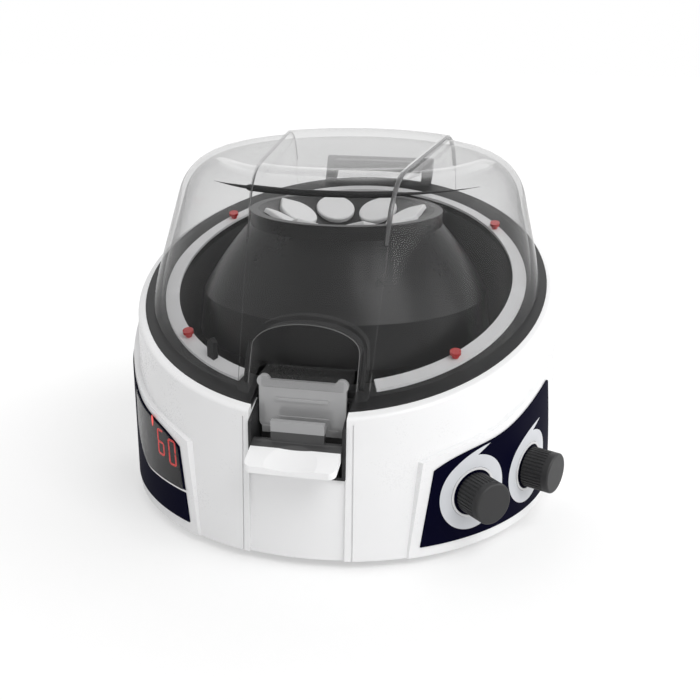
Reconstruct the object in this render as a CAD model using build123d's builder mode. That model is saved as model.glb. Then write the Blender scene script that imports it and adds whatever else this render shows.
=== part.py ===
from build123d import *
import os
from math import acos, cos, radians, sin, tan

os.makedirs("parts", exist_ok=True)

# Overall sizes, in millimetres. The front, with the latch, faces -Y and the floor is at height zero
RIM_WIDTH = 20.0
RIM_SLOPE = 19.2
BODY_EDGE = 2.5
EDGE_ROUND = 2.0
BODY_FLARE = 7.2
FOOT_HEIGHT = 5.0
WALL = 3.0
FIT = 0.2
RUNNING = 0.05

# Rim stack, as heights above or below the sloping rim plane
LIP_THICKNESS = 3.0
FLANGE_THICKNESS = 1.5
RING_PROUD = 0.5
REBATE_DEPTH = 4.5
LIP_WIDTH = 11.0
SEAL_THICKNESS = 1.5
SEAL_WIDTH = 8.0
SEAL_GAP_ANGLE = 20.0

# Chamber
BOWL_GAP = 12.0
BOWL_WALL = 1.5
BOWL_DEPTH = 67.0
BOWL_HOLE_GAP = 4.0
BOWL_CORNER = 12.0

# Side pods and their overlays
POD_PROUD = 1.1
POD_AZIMUTH = 63.0
POD_MARGIN = 5.0
OVERLAY_THICKNESS = 0.6
ADHESIVE = 0.15
OVERLAY_LIFT = 6.0
PANEL_LEFT = 29.5
PANEL_RIGHT = 85.5
PANEL_ROUND = 3.0
# Upper edge of the panel, as azimuths and drops below the rim, then the pod's own edge behind it
PANEL_EDGE = ((32.3, 37.5), (37.0, 34.5), (51.4, 35.0), (66.0, 32.5), (74.0, 32.0))
POD_REAR_EDGE = ((85.0, 27.5), (97.0, 25.0), (107.0, 29.0))
POD_REAR = 110.0

# Front channel and latch pocket
CHANNEL_WIDTH = 51.0
CHANNEL_DEPTH = 1.4
SEAM_ANGLE = 13.3
SEAM_WIDTH = 0.8
SEAM_DEPTH = 0.9
SEAM_STOP = 1.5
POCKET_BELOW_PIN = 15.0
POCKET_BOWL_GAP = 1.5
POCKET_WALL = 1.6
OVERCUT = 1.0

# Lid
LID_SETBACK = 4.5
LID_DRAFT = 9.7
LID_HEADROOM = 25.3
LID_WALL = 3.0
LID_CORNER = 14.0
LID_REST_GAP = 0.3
BAND_FRONT_WIDTH = 72.0
BAND_REAR_WIDTH = 108.0
BAND_RAISE = 2.5
ARCH_WIDTH = 56.0
ARCH_RAISE = 10.0
ARCH_DEPTH = 7.0

# Latch
TONGUE_WIDTH = 46.0
TONGUE_THICKNESS = 2.5
TONGUE_END = 6.0
LEVER_WIDTH = 47.0
LEVER_OUTSET = 0.5
LEVER_DEPTH = 19.2
LEVER_REACH = 20.0
LEVER_DROP = 7.0
LEVER_THICKNESS = 3.5
LEVER_PIN = 3.0
HOOK_WIDTH = 28.0
HOOK_RISE = 14.0
HOOK_THICKNESS = 3.0

# Hinge
HINGE_OUTSET = 2.0
HINGE_RISE = 9.0
HINGE_PIN = 5.0
KNUCKLE = 10.0
KNUCKLE_SPAN = 60.0
BRACKET_THICKNESS = 7.0
SIDE_GAP = 0.4

# Knobs
KNOB_DIAMETER = 23.0
KNOB_LENGTH = 16.0
KNOB_RISE = 32.0
KNOB_AZIMUTHS = (43.5, 65.0)
KNOB_RIBS = 36
KNOB_GAP = 0.5
SHAFT_DIAMETER = 6.0
POT_DIAMETER = 17.0
POT_DEPTH = 9.0

# Rotor
COLLAR_INSET = 28.0
ROTOR_HEIGHT = 96.0
NECK_OUT = 11.0
NECK_DOWN = 13.0
COLLAR_HEIGHT = 8.0
COLLAR_WALL = 5.0
ROTOR_RADIUS = 85.0
SHOULDER_DROP = 47.0
SKIRT_FLARE = 3.0
SKIRT_DROP = 24.0
ROTOR_FLOOR_GAP = 12.0
SKIRT_TAPER = 16.0
DISH_DEPTH = 20.0
TUBE_COUNT = 8
TUBE_ANGLE = 28.0
TUBE_INSET = 21.0
TUBE_SINK = 8.0
SHIELD_DIAMETER = 17.0
SHIELD_LENGTH = 80.0
SHIELD_WALL = 1.2
CAP_DIAMETER = 24.0
CAP_REACH = 15.0
CAP_THICKNESS = 3.0
HUB_DIAMETER = 26.0
NUT_HEIGHT = 8.0

# Motor and mains side
MOTOR_DIAMETER = 64.0
MOTOR_HEIGHT = 49.0
MOTOR_GAP = 3.0
MOTOR_SHAFT = 8.0
PAN_THICKNESS = 3.0
PAD_WIDTH = 72.0
PAD_HEIGHT = 36.0
PAD_PROUD = 0.4
PAD_ROOT = 20.0
INLET_WIDTH = 27.0
INLET_HEIGHT = 20.0
ROCKER_WIDTH = 13.0
ROCKER_HEIGHT = 19.0

# Pan, feet and vents
FOOT_AZIMUTHS = (30.0, 150.0, -150.0, -30.0)
FOOT_INSET = 23.2
FOOT_CHAMFER = 1.0
FOOT_DIAMETER = 22.0
VENT_COUNT = 9
VENT_PITCH = 9.0
VENT_ROW_GAP = 140.0
VENT_LENGTH = 24.0
VENT_WIDTH = 3.0
RING_SIDE_GAP = 0.5

# Pegs and tab on the seal ring
PEG_AZIMUTHS = (-47.0, 46.0, 124.0, -122.0)
PEG_OUTSET = 3.0
PEG_STEM = 3.6
PEG_HEAD = 6.0
PEG_HEIGHT = 4.0
PEG_CAP = 1.8
TAB_AZIMUTH = -33.0
TAB_WIDTH = 5.5
TAB_HEIGHT = 11.0
TAB_POINT = 2.2
TAB_THICKNESS = 3.0

# Smaller sizes of the lid, latch and hinge
ARCH_RISE = 12.0
TONGUE_GRIP = 8.8
TONGUE_ROUND = 3.0
EAR_RADIUS = 3.5
EAR_OUT = 1.0
RIB_WIDTH = 28.0
RIB_DROP = 10.0
RIB_HEIGHT = 1.6
RIB_PROUD = 0.8
BLOCK_HEIGHT = 6.0
BLOCK_LIFT = 0.6
BLOCK_PROUD = 0.6
LEVER_UNDERCUT = 1.0
LEVER_HUB = 7.0
LEVER_CORNER = 4.0
DIMPLE_WIDTH = 27.0
DIMPLE_DEPTH = 1.2
DIMPLE_SETBACK = 4.0
HOOK_NOSE = 3.0
SPRING_WIDTH = 12.0
SPRING_THICKNESS = 0.8
SPRING_GAP = 0.3
HINGE_ARM = 18.0
HINGE_ARM_THICKNESS = 7.0
BRACKET_INSET = 12.0
BRACKET_DEPTH = 6.0

# Smaller sizes of the controls
BUSH_RADIUS = 6.0
WINDOW_THICKNESS = 0.5
WINDOW_MARGIN = 0.6
WINDOW_RISE = 25.0
WINDOW_REAR = 57.0
WINDOW_ROUND = 24.0
POT_SETBACK = 22.3
BOARD_TURN = 7.0
KNOB_BORE = 11.0
KNOB_ROUND = 1.2
KNOB_GROOVE = 0.5
KNOB_SKIRT = 12.0
BOARD_GAP = 14.0
BOARD_WIDTH = 60.0
BOARD_HEIGHT = 42.0
BOARD_THICKNESS = 1.6

# Smaller sizes of the motor, rotor and mains side
MOTOR_FLANGE = 80.0
MOTOR_FLANGE_THICKNESS = 4.0
MOTOR_BORE = 30.0
NUT_RADIUS = 9.0
CAP_ROUND = 1.2
PAD_LIFT = 8.0
INLET_OFFSET = -14.0
ROCKER_OFFSET = 18.0
INLET_DEPTH = 16.0
BEZEL = 2.0
BEZEL_THICKNESS = 1.5
ROCKER_SINK = 5.0
ROCKER_PROUD = 1.0
ROCKER_RIM = 1.5
INLET_RIM = 1.5
INLET_BACK = 2.0
CORNER_ROUND = 2.0

# Places that follow from the sizes above
slope = tan(radians(RIM_SLOPE))
pan_top = FOOT_HEIGHT + PAN_THICKNESS
motor_top = pan_top + MOTOR_HEIGHT
bowl_floor = motor_top + MOTOR_GAP
rim_height = bowl_floor + BOWL_DEPTH
rotor_skirt_radius = ROTOR_RADIUS + SKIRT_FLARE
bowl_radius = rotor_skirt_radius + BOWL_GAP
rim_radius = bowl_radius + RIM_WIDTH
rim_front = rim_height - slope * rim_radius
body_top_radius = rim_radius + BODY_EDGE
body_top = rim_height + slope * body_top_radius + EDGE_ROUND
body_base_radius = rim_radius + BODY_FLARE
pod_radius = body_base_radius + POD_PROUD
far = 2.0 * pod_radius
bowl_hole = MOTOR_SHAFT + 2 * BOWL_HOLE_GAP
lip_inner_radius = rim_radius - LIP_WIDTH
ring_opening = CHANNEL_WIDTH + 2 * RING_SIDE_GAP
peg_circle = bowl_radius + PEG_OUTSET
lever_y = -rim_radius - LEVER_OUTSET
lever_z = rim_front - LEVER_DEPTH
pocket_floor = lever_z - POCKET_BELOW_PIN
pocket_back = bowl_radius + BOWL_WALL + POCKET_BOWL_GAP
pocket_depth = body_top_radius + LEVER_OUTSET + LEVER_UNDERCUT - pocket_back
lid_foot_radius = rim_radius - LID_SETBACK
lid_top_radius = lid_foot_radius - LID_DRAFT
arch_face = -(lid_foot_radius - ARCH_DEPTH)
arch_top = rim_height + ARCH_RAISE
tongue_bottom = lever_z + TONGUE_END
tongue_top = rim_height + slope * arch_face + TONGUE_GRIP
hook_top = lever_z + HOOK_RISE
hinge_y = rim_radius + HINGE_OUTSET
hinge_z = rim_height + slope * hinge_y + HINGE_RISE
bracket_front = rim_radius - BRACKET_INSET
bracket_back = bracket_front + BRACKET_DEPTH
foot_circle = body_base_radius - FOOT_INSET
knob_height = FOOT_HEIGHT + KNOB_RISE
window_bottom = FOOT_HEIGHT + WINDOW_RISE
overlay_radius = pod_radius + ADHESIVE
window_radius = overlay_radius + OVERLAY_THICKNESS + ADHESIVE
knob_back = overlay_radius + OVERLAY_THICKNESS + KNOB_GAP
pot_back = pod_radius - POT_SETBACK
board_radius = pot_back - BOARD_GAP
rotor_bottom = bowl_floor + ROTOR_FLOOR_GAP
collar_top = rotor_bottom + ROTOR_HEIGHT
lid_top = collar_top + LID_HEADROOM
collar_radius = ROTOR_RADIUS - COLLAR_INSET
rotor_dish = collar_top - DISH_DEPTH
rotor_shoulder = collar_top - SHOULDER_DROP
rotor_skirt = rotor_shoulder - SKIRT_DROP
rotor_bottom_radius = rotor_skirt_radius - SKIRT_TAPER
tube_top = collar_top - TUBE_SINK
tube_circle = collar_radius - TUBE_INSET
pad_face = body_base_radius + PAD_PROUD
pad_height = FOOT_HEIGHT + PAD_LIFT + PAD_HEIGHT / 2


def rim_plane(rise):
    """The sloping plane of the rim, moved straight up by rise."""
    z_dir = (0, -sin(radians(RIM_SLOPE)), cos(radians(RIM_SLOPE)))
    return Plane(origin=(0, 0, rim_height + rise), x_dir=(1, 0, 0), z_dir=z_dir)


def rim_at(y, rise=0.0):
    """Height of the rim plane at y."""
    return rim_height + rise + slope * y


def side_plane(azimuth, radius=0.0, height=0.0):
    """An upright plane that faces outward at an azimuth counted from the front."""
    a = radians(azimuth)
    origin = (radius * sin(a), -radius * cos(a), height)
    return Plane(origin=origin, x_dir=(cos(a), sin(a), 0), z_dir=(sin(a), -cos(a), 0))


def body_radius(height):
    """Outer radius of the tapered housing at a height."""
    share = (height - FOOT_HEIGHT) / (body_top - FOOT_HEIGHT)
    return body_base_radius + (body_top_radius - body_base_radius) * share


def tapered(inset, low, high):
    """Profile of the housing's solid, inset from its outside."""
    with BuildSketch(Plane.XZ) as profile:
        with BuildLine():
            Polyline(
                (0, low),
                (body_radius(low) - inset, low),
                (body_radius(high) - inset, high),
                (0, high),
                close=True,
            )
        make_face()
    return profile.sketch


def skin(depth):
    """The outermost layer of the housing wall, a little proud outside."""
    with BuildPart() as layer:
        add(tapered(-WALL, FOOT_HEIGHT - OVERCUT, body_top))
        revolve(axis=Axis.Z)
        add(tapered(depth, FOOT_HEIGHT - 2 * OVERCUT, body_top + OVERCUT))
        revolve(axis=Axis.Z, mode=Mode.SUBTRACT)
    return layer.part


def rim_slab(outer, inner, low, high):
    """An upright ring cut off by two sloping planes."""
    with BuildPart() as slab:
        Cylinder(outer, 4 * outer)
        if inner > 0:
            Cylinder(inner, 4 * outer, mode=Mode.SUBTRACT)
        split(bisect_by=rim_plane(high), keep=Keep.BOTTOM)
        split(bisect_by=rim_plane(low), keep=Keep.TOP)
    return slab.part


def across(azimuth):
    """Sideways place on a pod's plane of an azimuth on the pod's surface."""
    return pod_radius * sin(radians(azimuth - POD_AZIMUTH))


def under_rim(azimuth, drop):
    """Height at a drop below the rim's edge, at an azimuth."""
    return rim_at(-rim_radius * cos(radians(azimuth))) - drop


def panel_outline(margin):
    """Outline of the printed panel on the right pod, grown by margin."""
    edge = [(across(azimuth), under_rim(azimuth, drop) + margin) for azimuth, drop in PANEL_EDGE]
    left = (across(PANEL_LEFT) - margin, FOOT_HEIGHT + OVERLAY_LIFT - margin)
    right = (across(PANEL_RIGHT) + margin, FOOT_HEIGHT + OVERLAY_LIFT - margin)
    corner = (edge[0][0] - margin, edge[0][1])
    peak = (edge[-1][0] + margin / 2, edge[-1][1])
    with BuildSketch() as outline:
        with BuildLine():
            Line(left, corner)
            Spline(corner, *edge[1:-1], peak)
            Line(peak, right)
            Line(right, left)
        make_face()
        fillet(outline.vertices().sort_by(Axis.Y)[-1:], PANEL_ROUND)
    return outline.sketch


def pod_outline():
    """Outline of the raised pod, which borders the panel and rises on towards the rear."""
    points = PANEL_EDGE + POD_REAR_EDGE
    edge = [(across(azimuth), under_rim(azimuth, drop) + POD_MARGIN) for azimuth, drop in points]
    left = (across(PANEL_LEFT) - POD_MARGIN, FOOT_HEIGHT)
    corner = (edge[0][0] - POD_MARGIN, edge[0][1])
    with BuildSketch() as outline:
        with BuildLine():
            Line(left, corner)
            Spline(corner, *edge[1:])
            Line(edge[-1], (across(POD_REAR), FOOT_HEIGHT))
            Line((across(POD_REAR), FOOT_HEIGHT), left)
        make_face()
        fillet(outline.vertices().sort_by(Axis.Y)[-1:], PANEL_ROUND)
    return outline.sketch


# Housing
with BuildPart() as pod:
    with BuildSketch(Plane.XY.offset(FOOT_HEIGHT)):
        Circle(pod_radius)
    extrude(amount=rim_height)
    with BuildSketch(side_plane(POD_AZIMUTH, body_base_radius / 2)):
        add(pod_outline())
    extrude(amount=far, mode=Mode.INTERSECT)

with BuildPart() as cavity:
    add(tapered(WALL, FOOT_HEIGHT - OVERCUT, body_top))
    revolve(axis=Axis.Z)
    split(bisect_by=rim_plane(-REBATE_DEPTH - LIP_THICKNESS), keep=Keep.BOTTOM)

with BuildPart() as channel:
    add(skin(CHANNEL_DEPTH))
    with Locations((0, -pod_radius, 0)):
        Box(CHANNEL_WIDTH, pod_radius, 4 * rim_height, mode=Mode.INTERSECT)

with BuildPart() as seams:
    for side in (-1, 1):
        with BuildSketch(side_plane(side * SEAM_ANGLE, body_base_radius / 2)):
            Rectangle(SEAM_WIDTH, 4 * rim_height)
        extrude(amount=far)
    add(skin(SEAM_DEPTH), mode=Mode.INTERSECT)
    split(bisect_by=rim_plane(-EDGE_ROUND - SEAM_STOP), keep=Keep.BOTTOM)

with BuildPart() as housing_shell:
    add(tapered(0, FOOT_HEIGHT, body_top))
    revolve(axis=Axis.Z)
    split(bisect_by=rim_plane(0), keep=Keep.BOTTOM)
    fillet(housing_shell.faces().filter_by(GeomType.PLANE).sort_by(Axis.Z)[-1].edges(), EDGE_ROUND)
    add(pod.part)
    add(pod.part.mirror(Plane.YZ))
    with Locations((0, pad_face - PAD_ROOT / 2, pad_height)):
        Box(PAD_WIDTH, PAD_ROOT, PAD_HEIGHT)
    add(cavity.part, mode=Mode.SUBTRACT)
    add(rim_slab(rim_radius, 0, -REBATE_DEPTH, rim_height), mode=Mode.SUBTRACT)
    add(rim_slab(lip_inner_radius, 0, -REBATE_DEPTH - 2 * LIP_THICKNESS, rim_height), mode=Mode.SUBTRACT)
    add(channel.part, mode=Mode.SUBTRACT)
    add(seams.part, mode=Mode.SUBTRACT)
    with Locations((0, -pod_radius, pocket_floor)):
        Box(CHANNEL_WIDTH, 2 * (pod_radius - pocket_back), 2 * rim_height,
            align=(Align.CENTER, Align.CENTER, Align.MIN), mode=Mode.SUBTRACT)
    for azimuth in KNOB_AZIMUTHS:
        with BuildSketch(side_plane(azimuth, body_base_radius / 2, knob_height)):
            Circle(BUSH_RADIUS)
        extrude(amount=far, mode=Mode.SUBTRACT)
    with BuildSketch(side_plane(180, body_base_radius / 2, pad_height)):
        with Locations((INLET_OFFSET, 0)):
            Rectangle(INLET_WIDTH, INLET_HEIGHT)
        with Locations((ROCKER_OFFSET, 0)):
            Rectangle(ROCKER_WIDTH, ROCKER_HEIGHT)
    extrude(amount=far, mode=Mode.SUBTRACT)
housing_shell.part.label = "housing_shell"
export_step(housing_shell.part, "parts/housing_shell.step")

# Base pan, with two rows of vent slots
with BuildPart() as base_pan:
    with BuildSketch(Plane.XY.offset(FOOT_HEIGHT)):
        Circle(body_radius(pan_top) - WALL - FIT)
        with GridLocations(VENT_PITCH, VENT_ROW_GAP, VENT_COUNT, 2):
            SlotOverall(VENT_LENGTH, VENT_WIDTH, rotation=90, mode=Mode.SUBTRACT)
    extrude(amount=PAN_THICKNESS)
base_pan.part.label = "base_pan"
export_step(base_pan.part, "parts/base_pan.step")

# Feet
for number, azimuth in enumerate(FOOT_AZIMUTHS, start=1):
    with BuildPart() as foot:
        with BuildSketch(Plane.XY):
            with Locations(side_plane(azimuth, foot_circle).origin):
                Circle(FOOT_DIAMETER / 2)
        extrude(amount=FOOT_HEIGHT)
        chamfer(foot.faces().sort_by(Axis.Z)[0].edges(), FOOT_CHAMFER)
    foot.part.label = f"foot_{number}"
    export_step(foot.part, f"parts/foot_{number}.step")

# Rim ring, with the opening over the latch
with BuildPart() as rim_ring:
    add(rim_slab(rim_radius - FIT, bowl_radius, FLANGE_THICKNESS - REBATE_DEPTH, RING_PROUD))
    with Locations((0, -rim_radius, rim_height)):
        Box(ring_opening, 2 * (rim_radius - pocket_back), 4 * rim_height, mode=Mode.SUBTRACT)
rim_ring.part.label = "rim_ring"
export_step(rim_ring.part, "parts/rim_ring.step")

# Bowl, hung from its flange
with BuildPart() as bowl_inside:
    with BuildSketch(Plane.XY.offset(bowl_floor + BOWL_WALL)):
        Circle(bowl_radius)
    extrude(amount=2 * rim_height)
    fillet(bowl_inside.faces().sort_by(Axis.Z)[0].edges(), BOWL_CORNER)

with BuildPart() as bowl:
    with BuildSketch(Plane.XY.offset(bowl_floor)):
        Circle(bowl_radius + BOWL_WALL)
    extrude(amount=rim_height)
    fillet(bowl.faces().sort_by(Axis.Z)[0].edges(), BOWL_CORNER + BOWL_WALL)
    split(bisect_by=rim_plane(FLANGE_THICKNESS - REBATE_DEPTH), keep=Keep.BOTTOM)
    add(rim_slab(rim_radius - FIT, bowl_radius, -REBATE_DEPTH, FLANGE_THICKNESS - REBATE_DEPTH))
    add(bowl_inside.part, mode=Mode.SUBTRACT)
    with BuildSketch(Plane.XY.offset(bowl_floor)):
        Circle(bowl_hole / 2)
    extrude(amount=BOWL_WALL, mode=Mode.SUBTRACT)
    with Locations((0, -rim_radius, rim_height)):
        Box(ring_opening, 2 * (rim_radius - pocket_back), 4 * rim_height, mode=Mode.SUBTRACT)
bowl.part.label = "bowl"
export_step(bowl.part, "parts/bowl.step")


def lid_radius(height):
    """Outer radius of the lid's wall at a height."""
    foot = rim_at(-lid_foot_radius)
    share = (height - foot) / (lid_top - foot)
    return lid_foot_radius + (lid_top_radius - lid_foot_radius) * share


def lid_solid(grow):
    """The lid's filled shape, grown outward, cut off below the lowest point of the rim."""
    low = pocket_floor
    with BuildPart() as dome:
        with BuildSketch(Plane.XZ):
            with BuildLine():
                Polyline(
                    (0, low),
                    (lid_radius(low) + grow, low),
                    (lid_radius(lid_top) + grow, lid_top + grow),
                    (0, lid_top + grow),
                    close=True,
                )
            make_face()
        revolve(axis=Axis.Z)
        fillet(dome.faces().filter_by(GeomType.PLANE).sort_by(Axis.Z)[-1].edges(), LID_CORNER + grow)
    return dome.part


# Seal ring inside the lid, open at the front
with BuildPart() as bowl_seal:
    add(rim_slab(bowl_radius + SEAL_WIDTH, bowl_radius, RING_PROUD, RING_PROUD + SEAL_THICKNESS))
    add(lid_solid(-LID_WALL - 2 * FIT), mode=Mode.INTERSECT)
    with BuildSketch(Plane.XY):
        with BuildLine():
            Polyline(
                (0, 0),
                (-far * sin(radians(SEAL_GAP_ANGLE)), -far * cos(radians(SEAL_GAP_ANGLE))),
                (far * sin(radians(SEAL_GAP_ANGLE)), -far * cos(radians(SEAL_GAP_ANGLE))),
                close=True,
            )
        make_face()
    extrude(amount=2 * rim_height, mode=Mode.SUBTRACT)
bowl_seal.part.label = "bowl_seal"
export_step(bowl_seal.part, "parts/bowl_seal.step")


def on_seal(azimuth, radius):
    """A plane that lies on top of the seal ring, parallel to the rim."""
    x = radius * sin(radians(azimuth))
    y = -radius * cos(radians(azimuth))
    lying = rim_plane(0)
    return Plane(origin=(x, y, rim_at(y, RING_PROUD + SEAL_THICKNESS)), x_dir=lying.x_dir, z_dir=lying.z_dir)


# Red pegs that the lid's edge is guided by
for number, azimuth in enumerate(PEG_AZIMUTHS, start=1):
    with BuildPart() as peg:
        with BuildSketch(on_seal(azimuth, peg_circle)):
            Circle(PEG_STEM / 2)
        extrude(amount=PEG_HEIGHT)
        with BuildSketch(on_seal(azimuth, peg_circle).offset(PEG_HEIGHT - PEG_CAP)):
            Circle(PEG_HEAD / 2)
        extrude(amount=PEG_CAP)
    peg.part.label = f"lid_buffer_{number}"
    export_step(peg.part, f"parts/lid_buffer_{number}.step")

# Interlock tab with a pointed top
with BuildPart() as interlock_tab:
    tab_plane = on_seal(TAB_AZIMUTH, peg_circle)
    with BuildSketch(side_plane(TAB_AZIMUTH, peg_circle, tab_plane.origin.Z)):
        with BuildLine():
            Polyline(
                (-TAB_WIDTH / 2, -TAB_THICKNESS),
                (TAB_WIDTH / 2, -TAB_THICKNESS),
                (TAB_WIDTH / 2, TAB_HEIGHT - TAB_POINT),
                (0, TAB_HEIGHT),
                (-TAB_WIDTH / 2, TAB_HEIGHT - TAB_POINT),
                close=True,
            )
        make_face()
    extrude(amount=TAB_THICKNESS / 2, both=True)
    split(bisect_by=rim_plane(RING_PROUD + SEAL_THICKNESS), keep=Keep.TOP)
interlock_tab.part.label = "interlock_tab"
export_step(interlock_tab.part, "parts/interlock_tab.step")


# Lid: a clear dome with a raised band from front to back and an arched finger recess
def arch_block(grow):
    """The arched space at the front of the lid, grown by a wall."""
    half = ARCH_WIDTH / 2 + grow
    top = arch_top + grow
    with BuildPart() as block:
        with BuildSketch(Plane.XZ.offset(-arch_face - grow)):
            with BuildLine():
                Polyline((-half, top - ARCH_RISE), (-half, 0), (half, 0), (half, top - ARCH_RISE))
                ThreePointArc((half, top - ARCH_RISE), (0, top), (-half, top - ARCH_RISE))
            make_face()
        extrude(amount=far)
    return block.part


with BuildPart() as band:
    add(lid_solid(BAND_RAISE))
    with BuildSketch(Plane.XY):
        with BuildLine():
            Polyline(
                (-BAND_FRONT_WIDTH / 2, -far / 2),
                (BAND_FRONT_WIDTH / 2, -far / 2),
                (BAND_REAR_WIDTH / 2, far / 2),
                (-BAND_REAR_WIDTH / 2, far / 2),
                close=True,
            )
        make_face()
    extrude(amount=2 * lid_top, mode=Mode.INTERSECT)

with BuildPart() as lid_inside:
    add(lid_solid(-LID_WALL))
    add(arch_block(LID_WALL), mode=Mode.SUBTRACT)

with BuildPart() as lid_dome:
    add(lid_solid(0))
    add(band.part)
    add(arch_block(0), mode=Mode.SUBTRACT)
    add(lid_inside.part, mode=Mode.SUBTRACT)
    split(bisect_by=rim_plane(RING_PROUD + LID_REST_GAP), keep=Keep.TOP)
lid_dome.part.label = "lid_dome"
export_step(lid_dome.part, "parts/lid_dome.step")

# Latch tongue, fixed to the back wall of the finger recess
with BuildPart() as latch_tongue:
    with BuildSketch(Plane.XZ.offset(-arch_face)):
        with Locations((0, (tongue_bottom + tongue_top) / 2)):
            RectangleRounded(TONGUE_WIDTH, tongue_top - tongue_bottom, TONGUE_ROUND)
        for side in (-1, 1):
            with Locations((side * (TONGUE_WIDTH / 2 - EAR_RADIUS + EAR_OUT), tongue_top - EAR_OUT)):
                Circle(EAR_RADIUS)
    extrude(amount=TONGUE_THICKNESS)
    with BuildSketch(Plane.XZ.offset(-arch_face)):
        with Locations((0, tongue_top - RIB_DROP)):
            Rectangle(RIB_WIDTH, RIB_HEIGHT)
    extrude(amount=TONGUE_THICKNESS + RIB_PROUD)
    with BuildSketch(Plane.XZ.offset(-arch_face)):
        with Locations((0, tongue_bottom + BLOCK_LIFT)):
            Rectangle(RIB_WIDTH, BLOCK_HEIGHT, align=(Align.CENTER, Align.MIN))
    extrude(amount=TONGUE_THICKNESS + BLOCK_PROUD)
latch_tongue.part.label = "latch_tongue"
export_step(latch_tongue.part, "parts/latch_tongue.step")

# Latch pocket: a liner, open at the front and top
with BuildPart() as latch_pocket:
    with Locations((0, -pocket_back - FIT, pocket_floor + FIT)):
        Box(CHANNEL_WIDTH - 2 * FIT, pocket_depth, 2 * rim_height, align=(Align.CENTER, Align.MAX, Align.MIN))
        with Locations((0, -POCKET_WALL, POCKET_WALL)):
            Box(CHANNEL_WIDTH - 2 * (FIT + POCKET_WALL), pocket_depth, 2 * rim_height,
                align=(Align.CENTER, Align.MAX, Align.MIN), mode=Mode.SUBTRACT)
    split(bisect_by=rim_plane(-REBATE_DEPTH), keep=Keep.BOTTOM)
    with BuildSketch(Plane.YZ):
        with Locations((lever_y, lever_z)):
            Circle(LEVER_PIN / 2 + RUNNING)
    extrude(amount=CHANNEL_WIDTH, both=True, mode=Mode.SUBTRACT)
latch_pocket.part.label = "latch_pocket"
export_step(latch_pocket.part, "parts/latch_pocket.step")

with BuildPart() as lever_pin:
    with BuildSketch(Plane.YZ):
        with Locations((lever_y, lever_z)):
            Circle(LEVER_PIN / 2)
    extrude(amount=CHANNEL_WIDTH / 2 - FIT, both=True)
lever_pin.part.label = "lever_pin"
export_step(lever_pin.part, "parts/lever_pin.step")

# Release lever: a tab outside with a thumb dimple, a hub on the pin and an upright hook
dimple_radius = (DIMPLE_WIDTH ** 2 / 4 + DIMPLE_DEPTH ** 2) / (2 * DIMPLE_DEPTH)
tab_fall = (LEVER_DROP - LEVER_THICKNESS + LEVER_HUB / 2) / LEVER_REACH
dimple_y = lever_y - LEVER_REACH + DIMPLE_SETBACK
dimple_z = lever_z + LEVER_HUB / 2 - tab_fall * (LEVER_REACH - DIMPLE_SETBACK)
dimple_plane = Plane(origin=(0, dimple_y, dimple_z), x_dir=(1, 0, 0), z_dir=(0, -tab_fall, 1))

with BuildPart() as release_lever:
    with BuildSketch(Plane.YZ):
        with Locations((lever_y, lever_z)):
            Circle(LEVER_HUB / 2)
        with BuildLine():
            Polyline(
                (lever_y, lever_z + LEVER_HUB / 2),
                (lever_y - LEVER_REACH, lever_z - LEVER_DROP + LEVER_THICKNESS),
                (lever_y - LEVER_REACH, lever_z - LEVER_DROP),
                (lever_y, lever_z - LEVER_HUB / 2 + LEVER_UNDERCUT),
                close=True,
            )
        make_face()
    extrude(amount=LEVER_WIDTH / 2, both=True)
    fillet(release_lever.edges().filter_by(Axis.Z).sort_by(Axis.Y)[:2], LEVER_CORNER)
    with Locations(dimple_plane.offset(dimple_radius - DIMPLE_DEPTH)):
        Sphere(dimple_radius, mode=Mode.SUBTRACT)
    with BuildSketch(Plane.YZ):
        with BuildLine():
            Polyline(
                (lever_y - HOOK_THICKNESS / 2, lever_z),
                (lever_y - HOOK_THICKNESS / 2, hook_top),
                (lever_y + HOOK_THICKNESS / 2, hook_top),
                (lever_y + HOOK_THICKNESS / 2 + HOOK_NOSE, hook_top - HOOK_NOSE),
                (lever_y + HOOK_THICKNESS / 2, hook_top - 2 * HOOK_NOSE),
                (lever_y + HOOK_THICKNESS / 2, lever_z),
                close=True,
            )
        make_face()
    extrude(amount=HOOK_WIDTH / 2, both=True)
    with BuildSketch(Plane.YZ):
        with Locations((lever_y, lever_z)):
            Circle(LEVER_PIN / 2 + RUNNING)
    extrude(amount=LEVER_WIDTH, both=True, mode=Mode.SUBTRACT)
release_lever.part.label = "release_lever"
export_step(release_lever.part, "parts/release_lever.step")

# Leaf spring that stands on the pocket's floor behind the lever
with BuildPart() as lever_spring:
    with Locations((0, lever_y + LEVER_HUB / 2 + SPRING_GAP, pocket_floor + FIT + POCKET_WALL)):
        Box(SPRING_WIDTH, SPRING_THICKNESS, lever_z - pocket_floor - FIT - POCKET_WALL,
            align=(Align.CENTER, Align.MIN, Align.MIN))
lever_spring.part.label = "lever_spring"
export_step(lever_spring.part, "parts/lever_spring.step")

# Hinge
with BuildPart() as hinge_pin:
    with BuildSketch(Plane.YZ):
        with Locations((hinge_y, hinge_z)):
            Circle(HINGE_PIN / 2)
    extrude(amount=KNUCKLE_SPAN / 2 + SIDE_GAP + BRACKET_THICKNESS, both=True)
hinge_pin.part.label = "hinge_pin"
export_step(hinge_pin.part, "parts/hinge_pin.step")

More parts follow.
